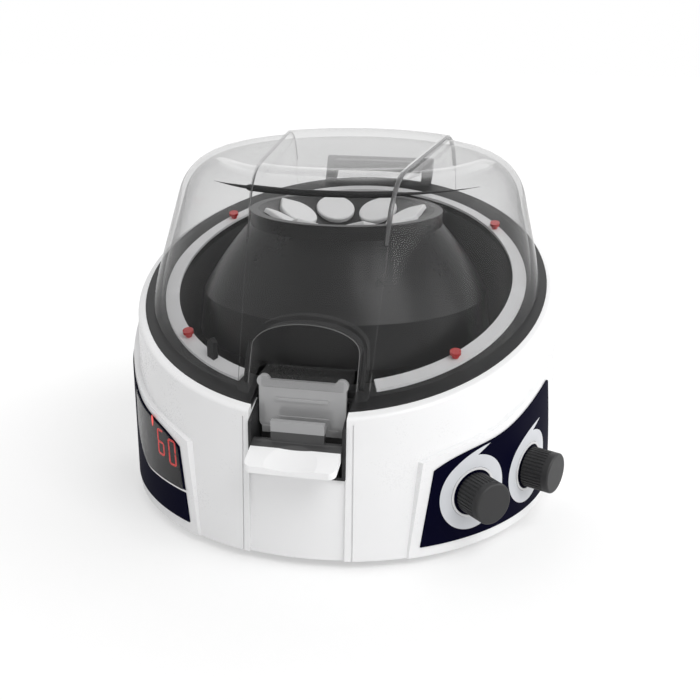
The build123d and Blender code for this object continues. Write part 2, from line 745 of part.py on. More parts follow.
with BuildPart() as lid_hinge_plate:
    with BuildSketch(Plane.YZ):
        with Locations((hinge_y, hinge_z)):
            Circle(KNUCKLE / 2)
        with Locations((hinge_y, hinge_z)):
            Rectangle(HINGE_ARM, HINGE_ARM_THICKNESS, align=(Align.MAX, Align.CENTER))
        with Locations((hinge_y, hinge_z)):
            Circle(HINGE_PIN / 2 + RUNNING, mode=Mode.SUBTRACT)
    extrude(amount=KNUCKLE_SPAN / 2, both=True)
    add(lid_solid(BAND_RAISE), mode=Mode.SUBTRACT)
lid_hinge_plate.part.label = "lid_hinge_plate"
export_step(lid_hinge_plate.part, "parts/lid_hinge_plate.step")

for side, name in ((-1, "left"), (1, "right")):
    inner = KNUCKLE_SPAN / 2 + SIDE_GAP
    with BuildPart() as bracket:
        with BuildSketch(Plane.YZ.offset(inner if side > 0 else -inner - BRACKET_THICKNESS)):
            with BuildLine():
                Polyline(
                    (bracket_front, rim_at(bracket_front) - REBATE_DEPTH),
                    (bracket_back, rim_at(bracket_back) - REBATE_DEPTH),
                    (hinge_y + KNUCKLE / 2, hinge_z),
                    (hinge_y - KNUCKLE / 2, hinge_z),
                    close=True,
                )
            make_face()
            with Locations((hinge_y, hinge_z)):
                Circle(KNUCKLE / 2)
            with Locations((hinge_y, hinge_z)):
                Circle(HINGE_PIN / 2 + RUNNING, mode=Mode.SUBTRACT)
        extrude(amount=BRACKET_THICKNESS)
        split(bisect_by=rim_plane(RING_PROUD), keep=Keep.TOP)
    bracket.part.label = f"hinge_bracket_{name}"
    export_step(bracket.part, f"parts/hinge_bracket_{name}.step")


# Overlays on the side pods, and the display window on the left one
def pod_film(low_radius, thickness, outline):
    """A thin curved film on the right pod, with the given outline."""
    with BuildPart() as film:
        Cylinder(low_radius + thickness, 4 * rim_height)
        Cylinder(low_radius, 4 * rim_height, mode=Mode.SUBTRACT)
        with BuildSketch(side_plane(POD_AZIMUTH, body_base_radius / 2)):
            add(outline)
        extrude(amount=far, mode=Mode.INTERSECT)
    return film.part


panel = panel_outline(0)

with BuildPart() as control_overlay:
    add(pod_film(overlay_radius, OVERLAY_THICKNESS, panel))
    for azimuth in KNOB_AZIMUTHS:
        with BuildSketch(side_plane(azimuth, body_base_radius / 2, knob_height)):
            Circle(BUSH_RADIUS)
        extrude(amount=far, mode=Mode.SUBTRACT)
control_overlay.part.label = "control_overlay"
export_step(control_overlay.part, "parts/control_overlay.step")

with BuildPart() as display_overlay:
    add(pod_film(overlay_radius, OVERLAY_THICKNESS, panel).mirror(Plane.YZ))
display_overlay.part.label = "display_overlay"
export_step(display_overlay.part, "parts/display_overlay.step")

with BuildSketch() as window_outline:
    with Locations((across(WINDOW_REAR), window_bottom)):
        Rectangle(far, far, align=(Align.MAX, Align.MIN))
    fillet(window_outline.vertices().sort_by(Axis.X)[-2:].sort_by(Axis.Y)[0:1], WINDOW_ROUND)
    add(panel_outline(-WINDOW_MARGIN), mode=Mode.INTERSECT)

with BuildPart() as display_window:
    add(pod_film(window_radius, WINDOW_THICKNESS, window_outline.sketch))
    mirror(about=Plane.YZ, mode=Mode.REPLACE)
display_window.part.label = "display_window"
export_step(display_window.part, "parts/display_window.step")

# Speed and time controls: potentiometer, shaft and knob along each outward axis
for azimuth, name in zip(KNOB_AZIMUTHS, ("speed", "time")):
    with BuildPart() as pot:
        with BuildSketch(side_plane(azimuth, pot_back, knob_height)):
            Circle(POT_DIAMETER / 2)
        extrude(amount=POT_DEPTH)
        with BuildSketch(side_plane(azimuth, pot_back + POT_DEPTH, knob_height)):
            Circle(BUSH_RADIUS)
        extrude(amount=pod_radius - pot_back - POT_DEPTH)
        with BuildSketch(side_plane(azimuth, pot_back + POT_DEPTH / 2, knob_height)):
            Circle(SHAFT_DIAMETER / 2 + RUNNING)
        extrude(amount=far, mode=Mode.SUBTRACT)
    pot.part.label = f"{name}_pot"
    export_step(pot.part, f"parts/{name}_pot.step")

    with BuildPart() as shaft:
        with BuildSketch(side_plane(azimuth, pot_back + POT_DEPTH / 2 + SIDE_GAP, knob_height)):
            Circle(SHAFT_DIAMETER / 2)
        extrude(amount=knob_back + KNOB_BORE - pot_back - POT_DEPTH / 2 - SIDE_GAP)
    shaft.part.label = f"{name}_shaft"
    export_step(shaft.part, f"parts/{name}_shaft.step")

    with BuildPart() as knob:
        with BuildSketch(side_plane(azimuth, knob_back, knob_height)):
            Circle(KNOB_DIAMETER / 2)
        extrude(amount=KNOB_LENGTH)
        face_plane = side_plane(azimuth, knob_back + KNOB_LENGTH, knob_height)
        fillet(knob.edges().filter_by(GeomType.CIRCLE).sort_by_distance(face_plane.origin)[0:1], KNOB_ROUND)
        with BuildSketch(side_plane(azimuth, knob_back, knob_height)):
            with PolarLocations(KNOB_DIAMETER / 2, KNOB_RIBS):
                Circle(KNOB_GROOVE)
        extrude(amount=KNOB_SKIRT, mode=Mode.SUBTRACT)
        with BuildSketch(side_plane(azimuth, knob_back, knob_height)):
            Circle(SHAFT_DIAMETER / 2)
        extrude(amount=KNOB_BORE, mode=Mode.SUBTRACT)
    knob.part.label = f"{name}_knob"
    export_step(knob.part, f"parts/{name}_knob.step")

# Boards that stand on the pan behind the two panels
for azimuth, name in ((POD_AZIMUTH - BOARD_TURN, "control"), (BOARD_TURN - POD_AZIMUTH, "display")):
    with BuildPart() as board:
        with BuildSketch(side_plane(azimuth, board_radius, pan_top)):
            Rectangle(BOARD_WIDTH, BOARD_HEIGHT, align=(Align.CENTER, Align.MIN))
        extrude(amount=BOARD_THICKNESS)
    board.part.label = f"{name}_board"
    export_step(board.part, f"parts/{name}_board.step")

# Motor on the pan, its shaft through the bowl's floor
with BuildPart() as motor_body:
    with BuildSketch(Plane.XY.offset(pan_top)):
        Circle(MOTOR_FLANGE / 2)
    extrude(amount=MOTOR_FLANGE_THICKNESS)
    with BuildSketch(Plane.XY.offset(pan_top)):
        Circle(MOTOR_DIAMETER / 2)
    extrude(amount=motor_top - pan_top)
    with BuildSketch(Plane.XY.offset(motor_top - MOTOR_BORE)):
        Circle(MOTOR_SHAFT / 2 + RUNNING)
    extrude(amount=far, mode=Mode.SUBTRACT)
motor_body.part.label = "motor_body"
export_step(motor_body.part, "parts/motor_body.step")

with BuildPart() as motor_shaft:
    with BuildSketch(Plane.XY.offset(motor_top - MOTOR_BORE + SIDE_GAP)):
        Circle(MOTOR_SHAFT / 2)
    extrude(amount=rotor_dish + NUT_HEIGHT - motor_top + MOTOR_BORE - SIDE_GAP)
motor_shaft.part.label = "motor_shaft"
export_step(motor_shaft.part, "parts/motor_shaft.step")


def tube_plane(turn, along=0.0):
    """Plane across a tube's axis, facing up and inward, moved along the axis."""
    a = radians(turn)
    lean = radians(TUBE_ANGLE)
    outward = (cos(a), sin(a))
    radius = tube_circle - along * sin(lean)
    origin = (radius * outward[0], radius * outward[1], tube_top + along * cos(lean))
    z_dir = (-sin(lean) * outward[0], -sin(lean) * outward[1], cos(lean))
    return Plane(origin=origin, x_dir=(-outward[1], outward[0], 0), z_dir=z_dir)


tube_turns = [360.0 / TUBE_COUNT * (index + 0.5) for index in range(TUBE_COUNT)]

# Rotor, with a raised collar, a dished top and a slanting bore for each tube
with BuildPart() as rotor_body:
    with BuildSketch(Plane.XZ):
        with BuildLine():
            Polyline(
                (0, rotor_bottom),
                (rotor_bottom_radius, rotor_bottom),
                (rotor_skirt_radius, rotor_skirt),
                (ROTOR_RADIUS, rotor_shoulder),
            )
            Spline(
                (ROTOR_RADIUS, rotor_shoulder),
                (collar_radius + NECK_OUT, collar_top - COLLAR_HEIGHT - NECK_DOWN),
                (collar_radius, collar_top - COLLAR_HEIGHT),
            )
            Polyline(
                (collar_radius, collar_top - COLLAR_HEIGHT),
                (collar_radius, collar_top),
                (collar_radius - COLLAR_WALL, collar_top),
                (HUB_DIAMETER / 2, rotor_dish),
                (0, rotor_dish),
                (0, rotor_bottom),
            )
        make_face()
    revolve(axis=Axis.Z)
    for turn in tube_turns:
        with BuildSketch(tube_plane(turn, -SHIELD_LENGTH)):
            Circle(SHIELD_DIAMETER / 2)
        extrude(amount=2 * SHIELD_LENGTH, mode=Mode.SUBTRACT)
        with BuildSketch(tube_plane(turn)):
            Circle(CAP_DIAMETER / 2 + FIT)
        extrude(amount=SHIELD_LENGTH, mode=Mode.SUBTRACT)
    with BuildSketch(Plane.XY.offset(rotor_bottom)):
        Circle(MOTOR_SHAFT / 2)
    extrude(amount=far, mode=Mode.SUBTRACT)
rotor_body.part.label = "rotor_body"
export_step(rotor_body.part, "parts/rotor_body.step")

with BuildPart() as rotor_nut:
    with BuildSketch(Plane.XY.offset(rotor_dish)):
        RegularPolygon(NUT_RADIUS, 6)
        Circle(MOTOR_SHAFT / 2, mode=Mode.SUBTRACT)
    extrude(amount=NUT_HEIGHT)
rotor_nut.part.label = "rotor_nut"
export_step(rotor_nut.part, "parts/rotor_nut.step")

# Shields and their caps, which come to a point on the outer side
tangent_angle = acos(CAP_DIAMETER / 2 / CAP_REACH)
tangent_right = (CAP_DIAMETER / 2 * sin(tangent_angle), -CAP_DIAMETER / 2 * cos(tangent_angle))
tangent_left = (-tangent_right[0], tangent_right[1])

for number, turn in enumerate(tube_turns, start=1):
    with BuildPart() as shield:
        with BuildSketch(tube_plane(turn, -SHIELD_LENGTH)):
            Circle(SHIELD_DIAMETER / 2)
        extrude(amount=SHIELD_LENGTH)
        with BuildSketch(tube_plane(turn, -SHIELD_LENGTH + SHIELD_WALL)):
            Circle(SHIELD_DIAMETER / 2 - SHIELD_WALL)
        extrude(amount=SHIELD_LENGTH, mode=Mode.SUBTRACT)
    shield.part.label = f"tube_shield_{number}"
    export_step(shield.part, f"parts/tube_shield_{number}.step")

    seat = tube_plane(turn)
    with BuildPart() as cap:
        with BuildSketch(seat):
            Circle(CAP_DIAMETER / 2)
            with BuildLine():
                Polyline((0, 0), tangent_right, (0, -CAP_REACH), tangent_left, close=True)
            make_face()
        extrude(amount=CAP_THICKNESS)
        fillet(cap.faces().sort_by(Axis(seat.origin, seat.z_dir))[-1].edges(), CAP_ROUND)
    cap.part.label = f"tube_cap_{number}"
    export_step(cap.part, f"parts/tube_cap_{number}.step")

# Mains inlet and power rocker in the rear pad
connector_plane = side_plane(180, pad_face, pad_height)
with BuildPart() as mains_inlet:
    with BuildSketch(connector_plane.offset(-INLET_DEPTH)):
        with Locations((INLET_OFFSET, 0)):
            Rectangle(INLET_WIDTH - 2 * FIT, INLET_HEIGHT - 2 * FIT)
    extrude(amount=INLET_DEPTH)
    with BuildSketch(connector_plane):
        with Locations((INLET_OFFSET, 0)):
            RectangleRounded(INLET_WIDTH + 2 * BEZEL, INLET_HEIGHT + 2 * BEZEL, CORNER_ROUND)
    extrude(amount=BEZEL_THICKNESS)
    with BuildSketch(connector_plane.offset(BEZEL_THICKNESS)):
        with Locations((INLET_OFFSET, 0)):
            RectangleRounded(INLET_WIDTH - 2 * INLET_RIM, INLET_HEIGHT - 2 * INLET_RIM, CORNER_ROUND)
    extrude(amount=INLET_BACK - INLET_DEPTH, mode=Mode.SUBTRACT)
mains_inlet.part.label = "mains_inlet"
export_step(mains_inlet.part, "parts/mains_inlet.step")

with BuildPart() as rocker_frame:
    with BuildSketch(connector_plane.offset(-INLET_DEPTH)):
        with Locations((ROCKER_OFFSET, 0)):
            Rectangle(ROCKER_WIDTH - 2 * FIT, ROCKER_HEIGHT - 2 * FIT)
    extrude(amount=INLET_DEPTH)
    with BuildSketch(connector_plane):
        with Locations((ROCKER_OFFSET, 0)):
            RectangleRounded(ROCKER_WIDTH + 2 * BEZEL, ROCKER_HEIGHT + 2 * BEZEL, CORNER_ROUND)
    extrude(amount=BEZEL_THICKNESS)
    with BuildSketch(connector_plane.offset(-INLET_DEPTH / 2)):
        with Locations((ROCKER_OFFSET, 0)):
            Rectangle(ROCKER_WIDTH - 2 * ROCKER_RIM, ROCKER_HEIGHT - 2 * ROCKER_RIM)
    extrude(amount=INLET_DEPTH, mode=Mode.SUBTRACT)
rocker_frame.part.label = "rocker_frame"
export_step(rocker_frame.part, "parts/rocker_frame.step")

with BuildPart() as power_rocker:
    with BuildSketch(connector_plane.offset(-ROCKER_SINK)):
        with Locations((ROCKER_OFFSET, 0)):
            Rectangle(
                ROCKER_WIDTH - 2 * (ROCKER_RIM + SIDE_GAP),
                ROCKER_HEIGHT - 2 * (ROCKER_RIM + 2 * SIDE_GAP),
            )
    extrude(amount=ROCKER_SINK + BEZEL_THICKNESS + ROCKER_PROUD)
power_rocker.part.label = "power_rocker"
export_step(power_rocker.part, "parts/power_rocker.step")
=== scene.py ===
"""Looks of a small bench centrifuge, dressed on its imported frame.

Sizes are in millimetres and angles in degrees until a mesh is made, which is in metres. The front of the
centrifuge, with its latch, faces -Y. Azimuths count from the front, and are positive towards +X.
"""
import logging
import math
from dataclasses import dataclass
from enum import Enum
from typing import Optional, Sequence, Union

import bmesh
import bpy
from mathutils import Matrix, Vector
from mathutils.bvhtree import BVHTree


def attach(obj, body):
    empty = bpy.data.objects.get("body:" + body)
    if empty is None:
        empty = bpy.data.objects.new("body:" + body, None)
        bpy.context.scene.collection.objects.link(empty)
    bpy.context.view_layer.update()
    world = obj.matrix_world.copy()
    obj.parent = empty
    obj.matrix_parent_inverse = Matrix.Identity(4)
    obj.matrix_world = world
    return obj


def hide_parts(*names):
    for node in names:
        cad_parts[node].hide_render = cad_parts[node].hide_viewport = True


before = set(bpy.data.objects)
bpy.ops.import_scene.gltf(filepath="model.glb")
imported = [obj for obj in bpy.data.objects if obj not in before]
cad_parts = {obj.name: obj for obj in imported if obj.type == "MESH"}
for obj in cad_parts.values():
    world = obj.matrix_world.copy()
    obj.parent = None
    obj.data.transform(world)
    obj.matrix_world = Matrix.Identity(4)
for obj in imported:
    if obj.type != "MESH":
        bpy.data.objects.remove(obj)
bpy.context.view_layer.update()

LOG = logging.getLogger("centrifuge")
MM = 0.001

Colour = tuple[float, float, float]
Place = tuple[float, float, float]
Point = tuple[float, float]
WHITE = (1.0, 1.0, 1.0, 1.0)
NOISE_MIDDLE = 0.5
Term = Union[float, "Wire"]


class Wire:
    """One output socket of a node tree, with arithmetic that adds Math nodes."""

    def __init__(self, recipe: "Recipe", socket: bpy.types.NodeSocket) -> None:
        """Keeps the socket and the recipe that it belongs to."""
        self.recipe = recipe
        self.socket = socket

    def maths(self, operation: str, *terms: Term) -> "Wire":
        """Adds a Math node.

        Args:
            operation: name of the Math node's operation.
            terms: its values or links, in order.

        Returns:
            The node's result.
        """
        return self.recipe.node("ShaderNodeMath", {"operation": operation}, dict(enumerate(terms)))

    def __add__(self, other: Term) -> "Wire":
        """Sum of two terms."""
        return self.maths("ADD", self, other)

    def __sub__(self, other: Term) -> "Wire":
        """This wire less a term."""
        return self.maths("SUBTRACT", self, other)

    def __mul__(self, other: Term) -> "Wire":
        """Product of two terms."""
        return self.maths("MULTIPLY", self, other)

    def __pow__(self, other: Term) -> "Wire":
        """This wire to a power."""
        return self.maths("POWER", self, other)

    def stepped(self, low: float, high: float) -> "Wire":
        """Rises smoothly from 0 to 1.

        Args:
            low: value up to which it is 0.
            high: value from which it is 1.

        Returns:
            The share.
        """
        settings = {"interpolation_type": "SMOOTHSTEP"}
        sockets = {"Value": self, "From Min": low, "From Max": high}
        return self.recipe.node("ShaderNodeMapRange", settings, sockets)


class Recipe:
    """The node tree of one material or world."""

    def __init__(self, name: str, owner: Optional[bpy.types.ID] = None) -> None:
        """Starts an empty material, or empties the tree of the owner that is given."""
        self.owner = owner or bpy.data.materials.new(name)
        self.owner.use_nodes = True
        self.tree = self.owner.node_tree
        self.tree.nodes.clear()

    def node(self, kind: str, settings: Optional[dict] = None, sockets: Optional[dict] = None,
             out: Union[int, str] = 0) -> Wire:
        """Adds a node.

        Args:
            kind: Blender's name of the node's type.
            settings: attributes, which are set first.
            sockets: values or links of the inputs, by name or number.
            out: the output wanted, by name or number.

        Returns:
            That output.
        """
        made = self.tree.nodes.new(kind)
        for key, value in (settings or {}).items():
            setattr(made, key, value)
        for key, value in (sockets or {}).items():
            if isinstance(value, Wire):
                self.tree.links.new(value.socket, made.inputs[key])
            else:
                made.inputs[key].default_value = value
        return Wire(self, made.outputs[out])

    def place(self) -> Wire:
        """Position on the piece, in metres, that stays with it as it moves."""
        return self.node("ShaderNodeTexCoord", out="Object")

    def noise(self, size: float, detail: float = 2.0, where: Optional[Wire] = None) -> Wire:
        """Even noise from 0 to 1.

        Args:
            size: width of its features in millimetres.
            detail: octaves of detail.
            where: coordinates, or the piece's own.

        Returns:
            The noise value.
        """
        sockets = {"Vector": where or self.place(), "Scale": 1.0 / (size * MM), "Detail": detail}
        return self.node("ShaderNodeTexNoise", sockets=sockets)

    def stretched(self, scale: Place) -> Wire:
        """The piece's coordinates, scaled along each axis."""
        sockets = {0: self.place(), 1: scale}
        return self.node("ShaderNodeVectorMath", {"operation": "MULTIPLY"}, sockets)

    def blend(self, share: Term, first: Union[Colour, Wire], second: Union[Colour, Wire]) -> Wire:
        """Mixes two colours.

        Args:
            share: how much of the second colour.
            first: colour at share 0.
            second: colour at share 1.

        Returns:
            The mixed colour.
        """
        ends = [value if isinstance(value, Wire) else (*value, 1.0) for value in (first, second)]
        sockets = {0: share, 6: ends[0], 7: ends[1]}
        return self.node("ShaderNodeMix", {"data_type": "RGBA"}, sockets, out=2)

    def bump(self, height: Wire, depth: float) -> Wire:
        """Normal of a surface with a relief.

        Args:
            height: relief from 0 to 1.
            depth: its depth in millimetres.

        Returns:
            The normal.
        """
        sockets = {"Strength": 1.0, "Distance": depth * MM, "Height": height}
        return self.node("ShaderNodeBump", sockets=sockets)

    def principled(self, **sockets: object) -> Wire:
        """Adds a Principled shader.

        Args:
            sockets: values or links, with an underscore for each space of a socket's name.

        Returns:
            The shader.
        """
        named = {key.replace("_", " "): value for key, value in sockets.items()}
        for key, value in named.items():
            if isinstance(value, tuple) and len(value) == 3:
                named[key] = (*value, 1.0)
        return self.node("ShaderNodeBsdfPrincipled", sockets=named)

    def finish(self, shader: Wire, kind: str = "ShaderNodeOutputMaterial") -> bpy.types.ID:
        """Joins a shader to an output node.

        Args:
            shader: the finished shader.
            kind: type of the output node.

        Returns:
            The material or world that owns the tree.
        """
        end = self.tree.nodes.new(kind)
        self.tree.links.new(shader.socket, end.inputs["Surface"])
        return self.owner


@dataclass(frozen=True)
class Finish:
    """A finish, which makes one material."""

    name: str
    colour: Colour

    def shader(self, recipe: Recipe) -> Wire:
        """Builds the shader, which each kind of finish does in its own way.

        Args:
            recipe: the material's node tree.

        Returns:
            The shader.
        """
        raise NotImplementedError

    def make(self) -> bpy.types.Material:
        """Makes the material."""
        recipe = Recipe(self.name)
        return recipe.finish(self.shader(recipe))


@dataclass(frozen=True)
class MouldedPlastic(Finish):
    """Injection-moulded plastic, with a faint orange peel and drift of colour and gloss."""

    roughness: float = 0.4
    gloss: float = 0.5
    coat: float = 0.0
    drift: float = 0.03
    grain_size: float = 0.5
    grain_depth: float = 0.01
    grain_swing: float = 0.1
    cloud_size: float = 38.0
    cloud_swing: float = 0.12
    detail: float = 3.0

    def base(self, recipe: Recipe, cloud: Wire) -> Wire:
        """Colour of the plastic, which drifts a little with a cloud."""
        darker = tuple(value * (1.0 - 2.0 * self.drift) for value in self.colour)
        return recipe.blend(cloud, self.colour, darker)

    def shader(self, recipe: Recipe) -> Wire:
        """Builds the shader in a material's node tree."""
        cloud = recipe.noise(self.cloud_size, self.detail)
        grain = recipe.noise(self.grain_size, self.detail)
        swing = (cloud - NOISE_MIDDLE) * self.cloud_swing + (grain - NOISE_MIDDLE) * self.grain_swing
        return recipe.principled(
            Base_Color=self.base(recipe, cloud),
            Roughness=swing + self.roughness,
            Normal=recipe.bump(grain, self.grain_depth),
            Specular_IOR_Level=self.gloss, Coat_Weight=self.coat, Coat_Roughness=0.12,
        )


@dataclass(frozen=True)
class LatchPlastic(MouldedPlastic):
    """The release lever's plastic: a white tab, a dark hub behind it painted as the shade behind the tab,
    and a grey hook above the hub.
    """

    # Dark hub colour: painted shade, standing for the shadow behind the white tab.
    painted_hub_shade: Colour = (0.045, 0.045, 0.046)
    hook: Colour = (0.36, 0.36, 0.365)
    tab_rear: float = -126.6
    hook_low: float = 74.2
    blur: float = 0.1

    def base(self, recipe: Recipe, cloud: Wire) -> Wire:
        """Colour by the place on the lever, with painted shade on the hub behind the tab.

        Args:
            recipe: the node tree.
            cloud: the tab's drift of colour.

        Returns:
            The colour.
        """
        def past(axis: str, edge: float) -> Wire:
            """Rises from 0 to 1 where an axis passes an edge in millimetres."""
            along = recipe.node("ShaderNodeSeparateXYZ", sockets={0: recipe.place()}, out=axis)
            return along.stepped((edge - self.blur) * MM, (edge + self.blur) * MM)

        # Below the hook and behind the tab, the lever takes the painted shade.
        rear = recipe.blend(past("Z", self.hook_low), self.painted_hub_shade, self.hook)
        return recipe.blend(past("Y", self.tab_rear), super().base(recipe, cloud), rear)


@dataclass(frozen=True)
class ClearPlastic(Finish):
    """Clear moulded plastic, which darkens slightly what is behind it and shines at a flat angle."""

    haze: float = 0.0
    haze_colour: Colour = (0.25, 0.25, 0.25)
    shine: float = 0.03
    roughness: float = 0.03
    smear_size: float = 24.0
    smear_swing: float = 0.05
    edge_power: float = 5.0
    detail: float = 3.0

    def shader(self, recipe: Recipe) -> Wire:
        """Builds the shader in a material's node tree."""
        smear = recipe.noise(self.smear_size, self.detail)
        facing = recipe.node("ShaderNodeLayerWeight", sockets={"Blend": 0.5}, out="Facing")
        share = facing ** self.edge_power * (1.0 - self.shine) + (self.shine + self.haze)
        clear = recipe.node("ShaderNodeBsdfTransparent", sockets={"Color": (*self.colour, 1.0)})
        skin = recipe.principled(
            Base_Color=self.haze_colour,
            Roughness=smear * self.smear_swing + self.roughness,
            Specular_IOR_Level=1.0, Metallic=0.0, Coat_Weight=1.0, Coat_Roughness=0.03,
        )
        return recipe.node("ShaderNodeMixShader", sockets={0: share, 1: clear, 2: skin})


@dataclass(frozen=True)
class SoftRubber(Finish):
    """Matt rubber with a fine skin."""

    roughness: float = 0.75
    skin_size: float = 0.7
    skin_detail: float = 4.0
    skin_swing: float = 0.12
    skin_depth: float = 0.02
    dust_size: float = 14.0
    dust_detail: float = 3.0
    dust_edges: Point = (0.45, 0.9)
    dust_gain: float = 1.12
    dust_lift: float = 0.004

    def shader(self, recipe: Recipe) -> Wire:
        """Builds the shader in a material's node tree."""
        skin = recipe.noise(self.skin_size, self.skin_detail)
        dust = recipe.noise(self.dust_size, self.dust_detail).stepped(*self.dust_edges)
        paler = tuple(value * self.dust_gain + self.dust_lift for value in self.colour)
        return recipe.principled(
            Base_Color=recipe.blend(dust, self.colour, paler),
            Roughness=(skin - NOISE_MIDDLE) * self.skin_swing + self.roughness,
            Normal=recipe.bump(skin, self.skin_depth),
            Specular_IOR_Level=0.35,
        )


class Lay(Enum):
    """Direction in which a metal was brushed or turned."""

    ALONG_X = (0.04, 1.0, 1.0)
    ALONG_Z = (1.0, 1.0, 0.04)
    CAST = (1.0, 1.0, 1.0)


@dataclass(frozen=True)
class BareMetal(Finish):
    """Bare metal with fine brushing or a cast skin."""

    roughness: float = 0.3
    lay: Lay = Lay.ALONG_X
    line_size: float = 0.35
    line_detail: float = 2.0
    line_shade: float = 0.82
    line_swing: float = 0.2
    line_depth: float = 0.01

    def shader(self, recipe: Recipe) -> Wire:
        """Builds the shader in a material's node tree."""
        lines = recipe.noise(self.line_size, self.line_detail, recipe.stretched(self.lay.value))
        darker = tuple(value * self.line_shade for value in self.colour)
        return recipe.principled(
            Base_Color=recipe.blend(lines, self.colour, darker),
            Roughness=(lines - NOISE_MIDDLE) * self.line_swing + self.roughness,
            Normal=recipe.bump(lines, self.line_depth),
            Metallic=1.0,
        )


@dataclass(frozen=True)
class PrintedFilm(Finish):
    """A printed film with a fine matt lacquer."""

    roughness: float = 0.6
    gloss: float = 0.03
    lacquer_size: float = 0.4
    lacquer_detail: float = 2.0
    lacquer_swing: float = 0.1
    ink_size: float = 9.0
    ink_detail: float = 3.0
    ink_shade: float = 0.9

    def shader(self, recipe: Recipe) -> Wire:
        """Builds the shader in a material's node tree."""
        lacquer = recipe.noise(self.lacquer_size, self.lacquer_detail)
        ink = recipe.noise(self.ink_size, self.ink_detail)
        deeper = tuple(value * self.ink_shade for value in self.colour)
        return recipe.principled(
            Base_Color=recipe.blend(ink, self.colour, deeper),
            Roughness=(lacquer - NOISE_MIDDLE) * self.lacquer_swing + self.roughness,
            Specular_IOR_Level=self.gloss,
        )


@dataclass(frozen=True)
class LitSegment(Finish):
    """A glowing segment of the display."""

    strength: float = 1.0
    spread_size: float = 1.6
    spread_detail: float = 1.0
    spread_shade: float = 0.7

    def shader(self, recipe: Recipe) -> Wire:
        """Builds the shader in a material's node tree."""
        spread = recipe.noise(self.spread_size, self.spread_detail)
        dimmer = tuple(value * self.spread_shade for value in self.colour)
        return recipe.principled(
            Base_Color=(0.05, 0.0, 0.0), Roughness=0.4,
            Emission_Color=recipe.blend(spread, self.colour, dimmer),
            Emission_Strength=self.strength,
        )


def dress(material: bpy.types.Material, *nodes: str) -> None:
    """Gives CAD nodes a material.

    Args:
        material: the finish.
        nodes: names of the nodes.
    """
    for name in nodes:
        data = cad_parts[name].data
        data.materials.clear()
        data.materials.append(material)
        LOG.info("dressed %s with %s", name, material.name)


@dataclass(frozen=True)
class Wrap:
    """A patch of an upright cylinder on which flat drawings are laid."""

    azimuth: float
    height: float
    radius: float

    def at(self, across: float, up: float, lift: float = 0.0) -> Vector:
        """Point in metres of a drawing's point.

        Args:
            across: arc length from the patch's middle, positive towards larger azimuths.
            up: height above the patch's middle.
            lift: how far the point stands off the cylinder.

        Returns:
            The point in space.
        """
        angle = math.radians(self.azimuth) + across / self.radius
        reach = self.radius + lift
        return Vector((reach * math.sin(angle), -reach * math.cos(angle), self.height + up)) * MM


def placed(name: str, data: bpy.types.ID) -> bpy.types.Object:
    """Puts a new object into the scene.

    Args:
        name: its name.
        data: its mesh, lamp or camera.

    Returns:
        The new object.
    """
    made = bpy.data.objects.new(name, data)
    bpy.context.scene.collection.objects.link(made)
    return made


def settle(made: bpy.types.Object, material: bpy.types.Material, body: str) -> None:
    """Gives a new piece its finish and body.

    Args:
        made: the piece.
        material: its finish.
        body: body that it rides on.
    """
    made.data.materials.clear()
    made.data.materials.append(material)
    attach(made, body)
    LOG.info("made %s on %s", made.name, body)


def solid(name: str, points: Sequence[Vector], faces: Sequence[Sequence[int]], material: bpy.types.Material,
          body: str, slot: str, smooth: bool = False) -> None:
    """Makes a piece from points and faces.

    Args:
        name: name of the piece.
        points: its corners in metres.
        faces: corner numbers of each face.
        material: its finish.
        body: body that it rides on.
        slot: not used.
        smooth: whether its faces are shaded smooth.
    """
    mesh = bpy.data.meshes.new(name)
    mesh.from_pydata([tuple(point) for point in points], [], [tuple(face) for face in faces])
    mesh.validate()
    for polygon in mesh.polygons:
        polygon.use_smooth = smooth
    settle(placed(name, mesh), material, body)


def ribbon(wrap: Wrap, inner: Sequence[Point], outer: Sequence[Point], low: float, high: float,
           closed: bool) -> tuple[list[Vector], list[list[int]]]:
    """A thin solid band between two drawn lines, laid on a cylinder.

    Args:
        wrap: the patch of cylinder.
        inner: points of one edge.
        outer: as many points of the other edge.
        low: lift of its back.
        high: lift of its face.
        closed: whether the last points join the first.

    Returns:
        The corners and the faces.
    """
    points: list[Vector] = []
    for near, far in zip(inner, outer):
        points += [wrap.at(*near, high), wrap.at(*far, high), wrap.at(*far, low), wrap.at(*near, low)]
    count = len(inner)
    faces: list[list[int]] = []
    for step in range(count if closed else count - 1):
        here, there = 4 * step, 4 * ((step + 1) % count)
        for side in range(4):
            turn = (side + 1) % 4
            faces.append([here + side, here + turn, there + turn, there + side])
    if not closed:
        faces += [[3, 2, 1, 0], [4 * count - 4 + side for side in range(4)]]
    return points, faces


def bead(name: str, path: Sequence[Vector], radii: Sequence[float], material: bpy.types.Material, body: str,
         slot: str, beside: Vector = Vector((0.0, 0.0, 1.0))) -> None:
    """A round rod along a path, with rounded-off ends.

    Args:
        name: name of the piece.
        path: points of its middle in metres.
        radii: its radius in millimetres at each point.
        material: its finish.
        body: body that it rides on.
        slot: not used.
        beside: a direction that the path never takes.
    """
    sides = 10
    points: list[Vector] = []
    for index, (place, radius) in enumerate(zip(path, radii)):
        along = (path[min(index + 1, len(path) - 1)] - path[max(index - 1, 0)]).normalized()
        across = along.cross(beside).normalized()
        up = across.cross(along)
        for side in range(sides):
            turn = 2 * math.pi * side / sides
            points.append(place + (across * math.cos(turn) + up * math.sin(turn)) * radius * MM)
    faces = []
    for index in range(len(path) - 1):
        for side in range(sides):
            here, there = index * sides, (index + 1) * sides
            turn = (side + 1) % sides
            faces.append([here + side, there + side, there + turn, here + turn])
    faces += [list(range(sides)), [(len(path) - 1) * sides + side for side in reversed(range(sides))]]
    solid(name, points, faces, material, body, slot, smooth=True)


def circle(radius: float, count: int = 96) -> list[Point]:
    """Points round a circle of a radius, as many as the count says."""
    angles = [math.radians(360.0 * index / count) for index in range(count)]
    return [(radius * math.cos(angle), radius * math.sin(angle)) for angle in angles]


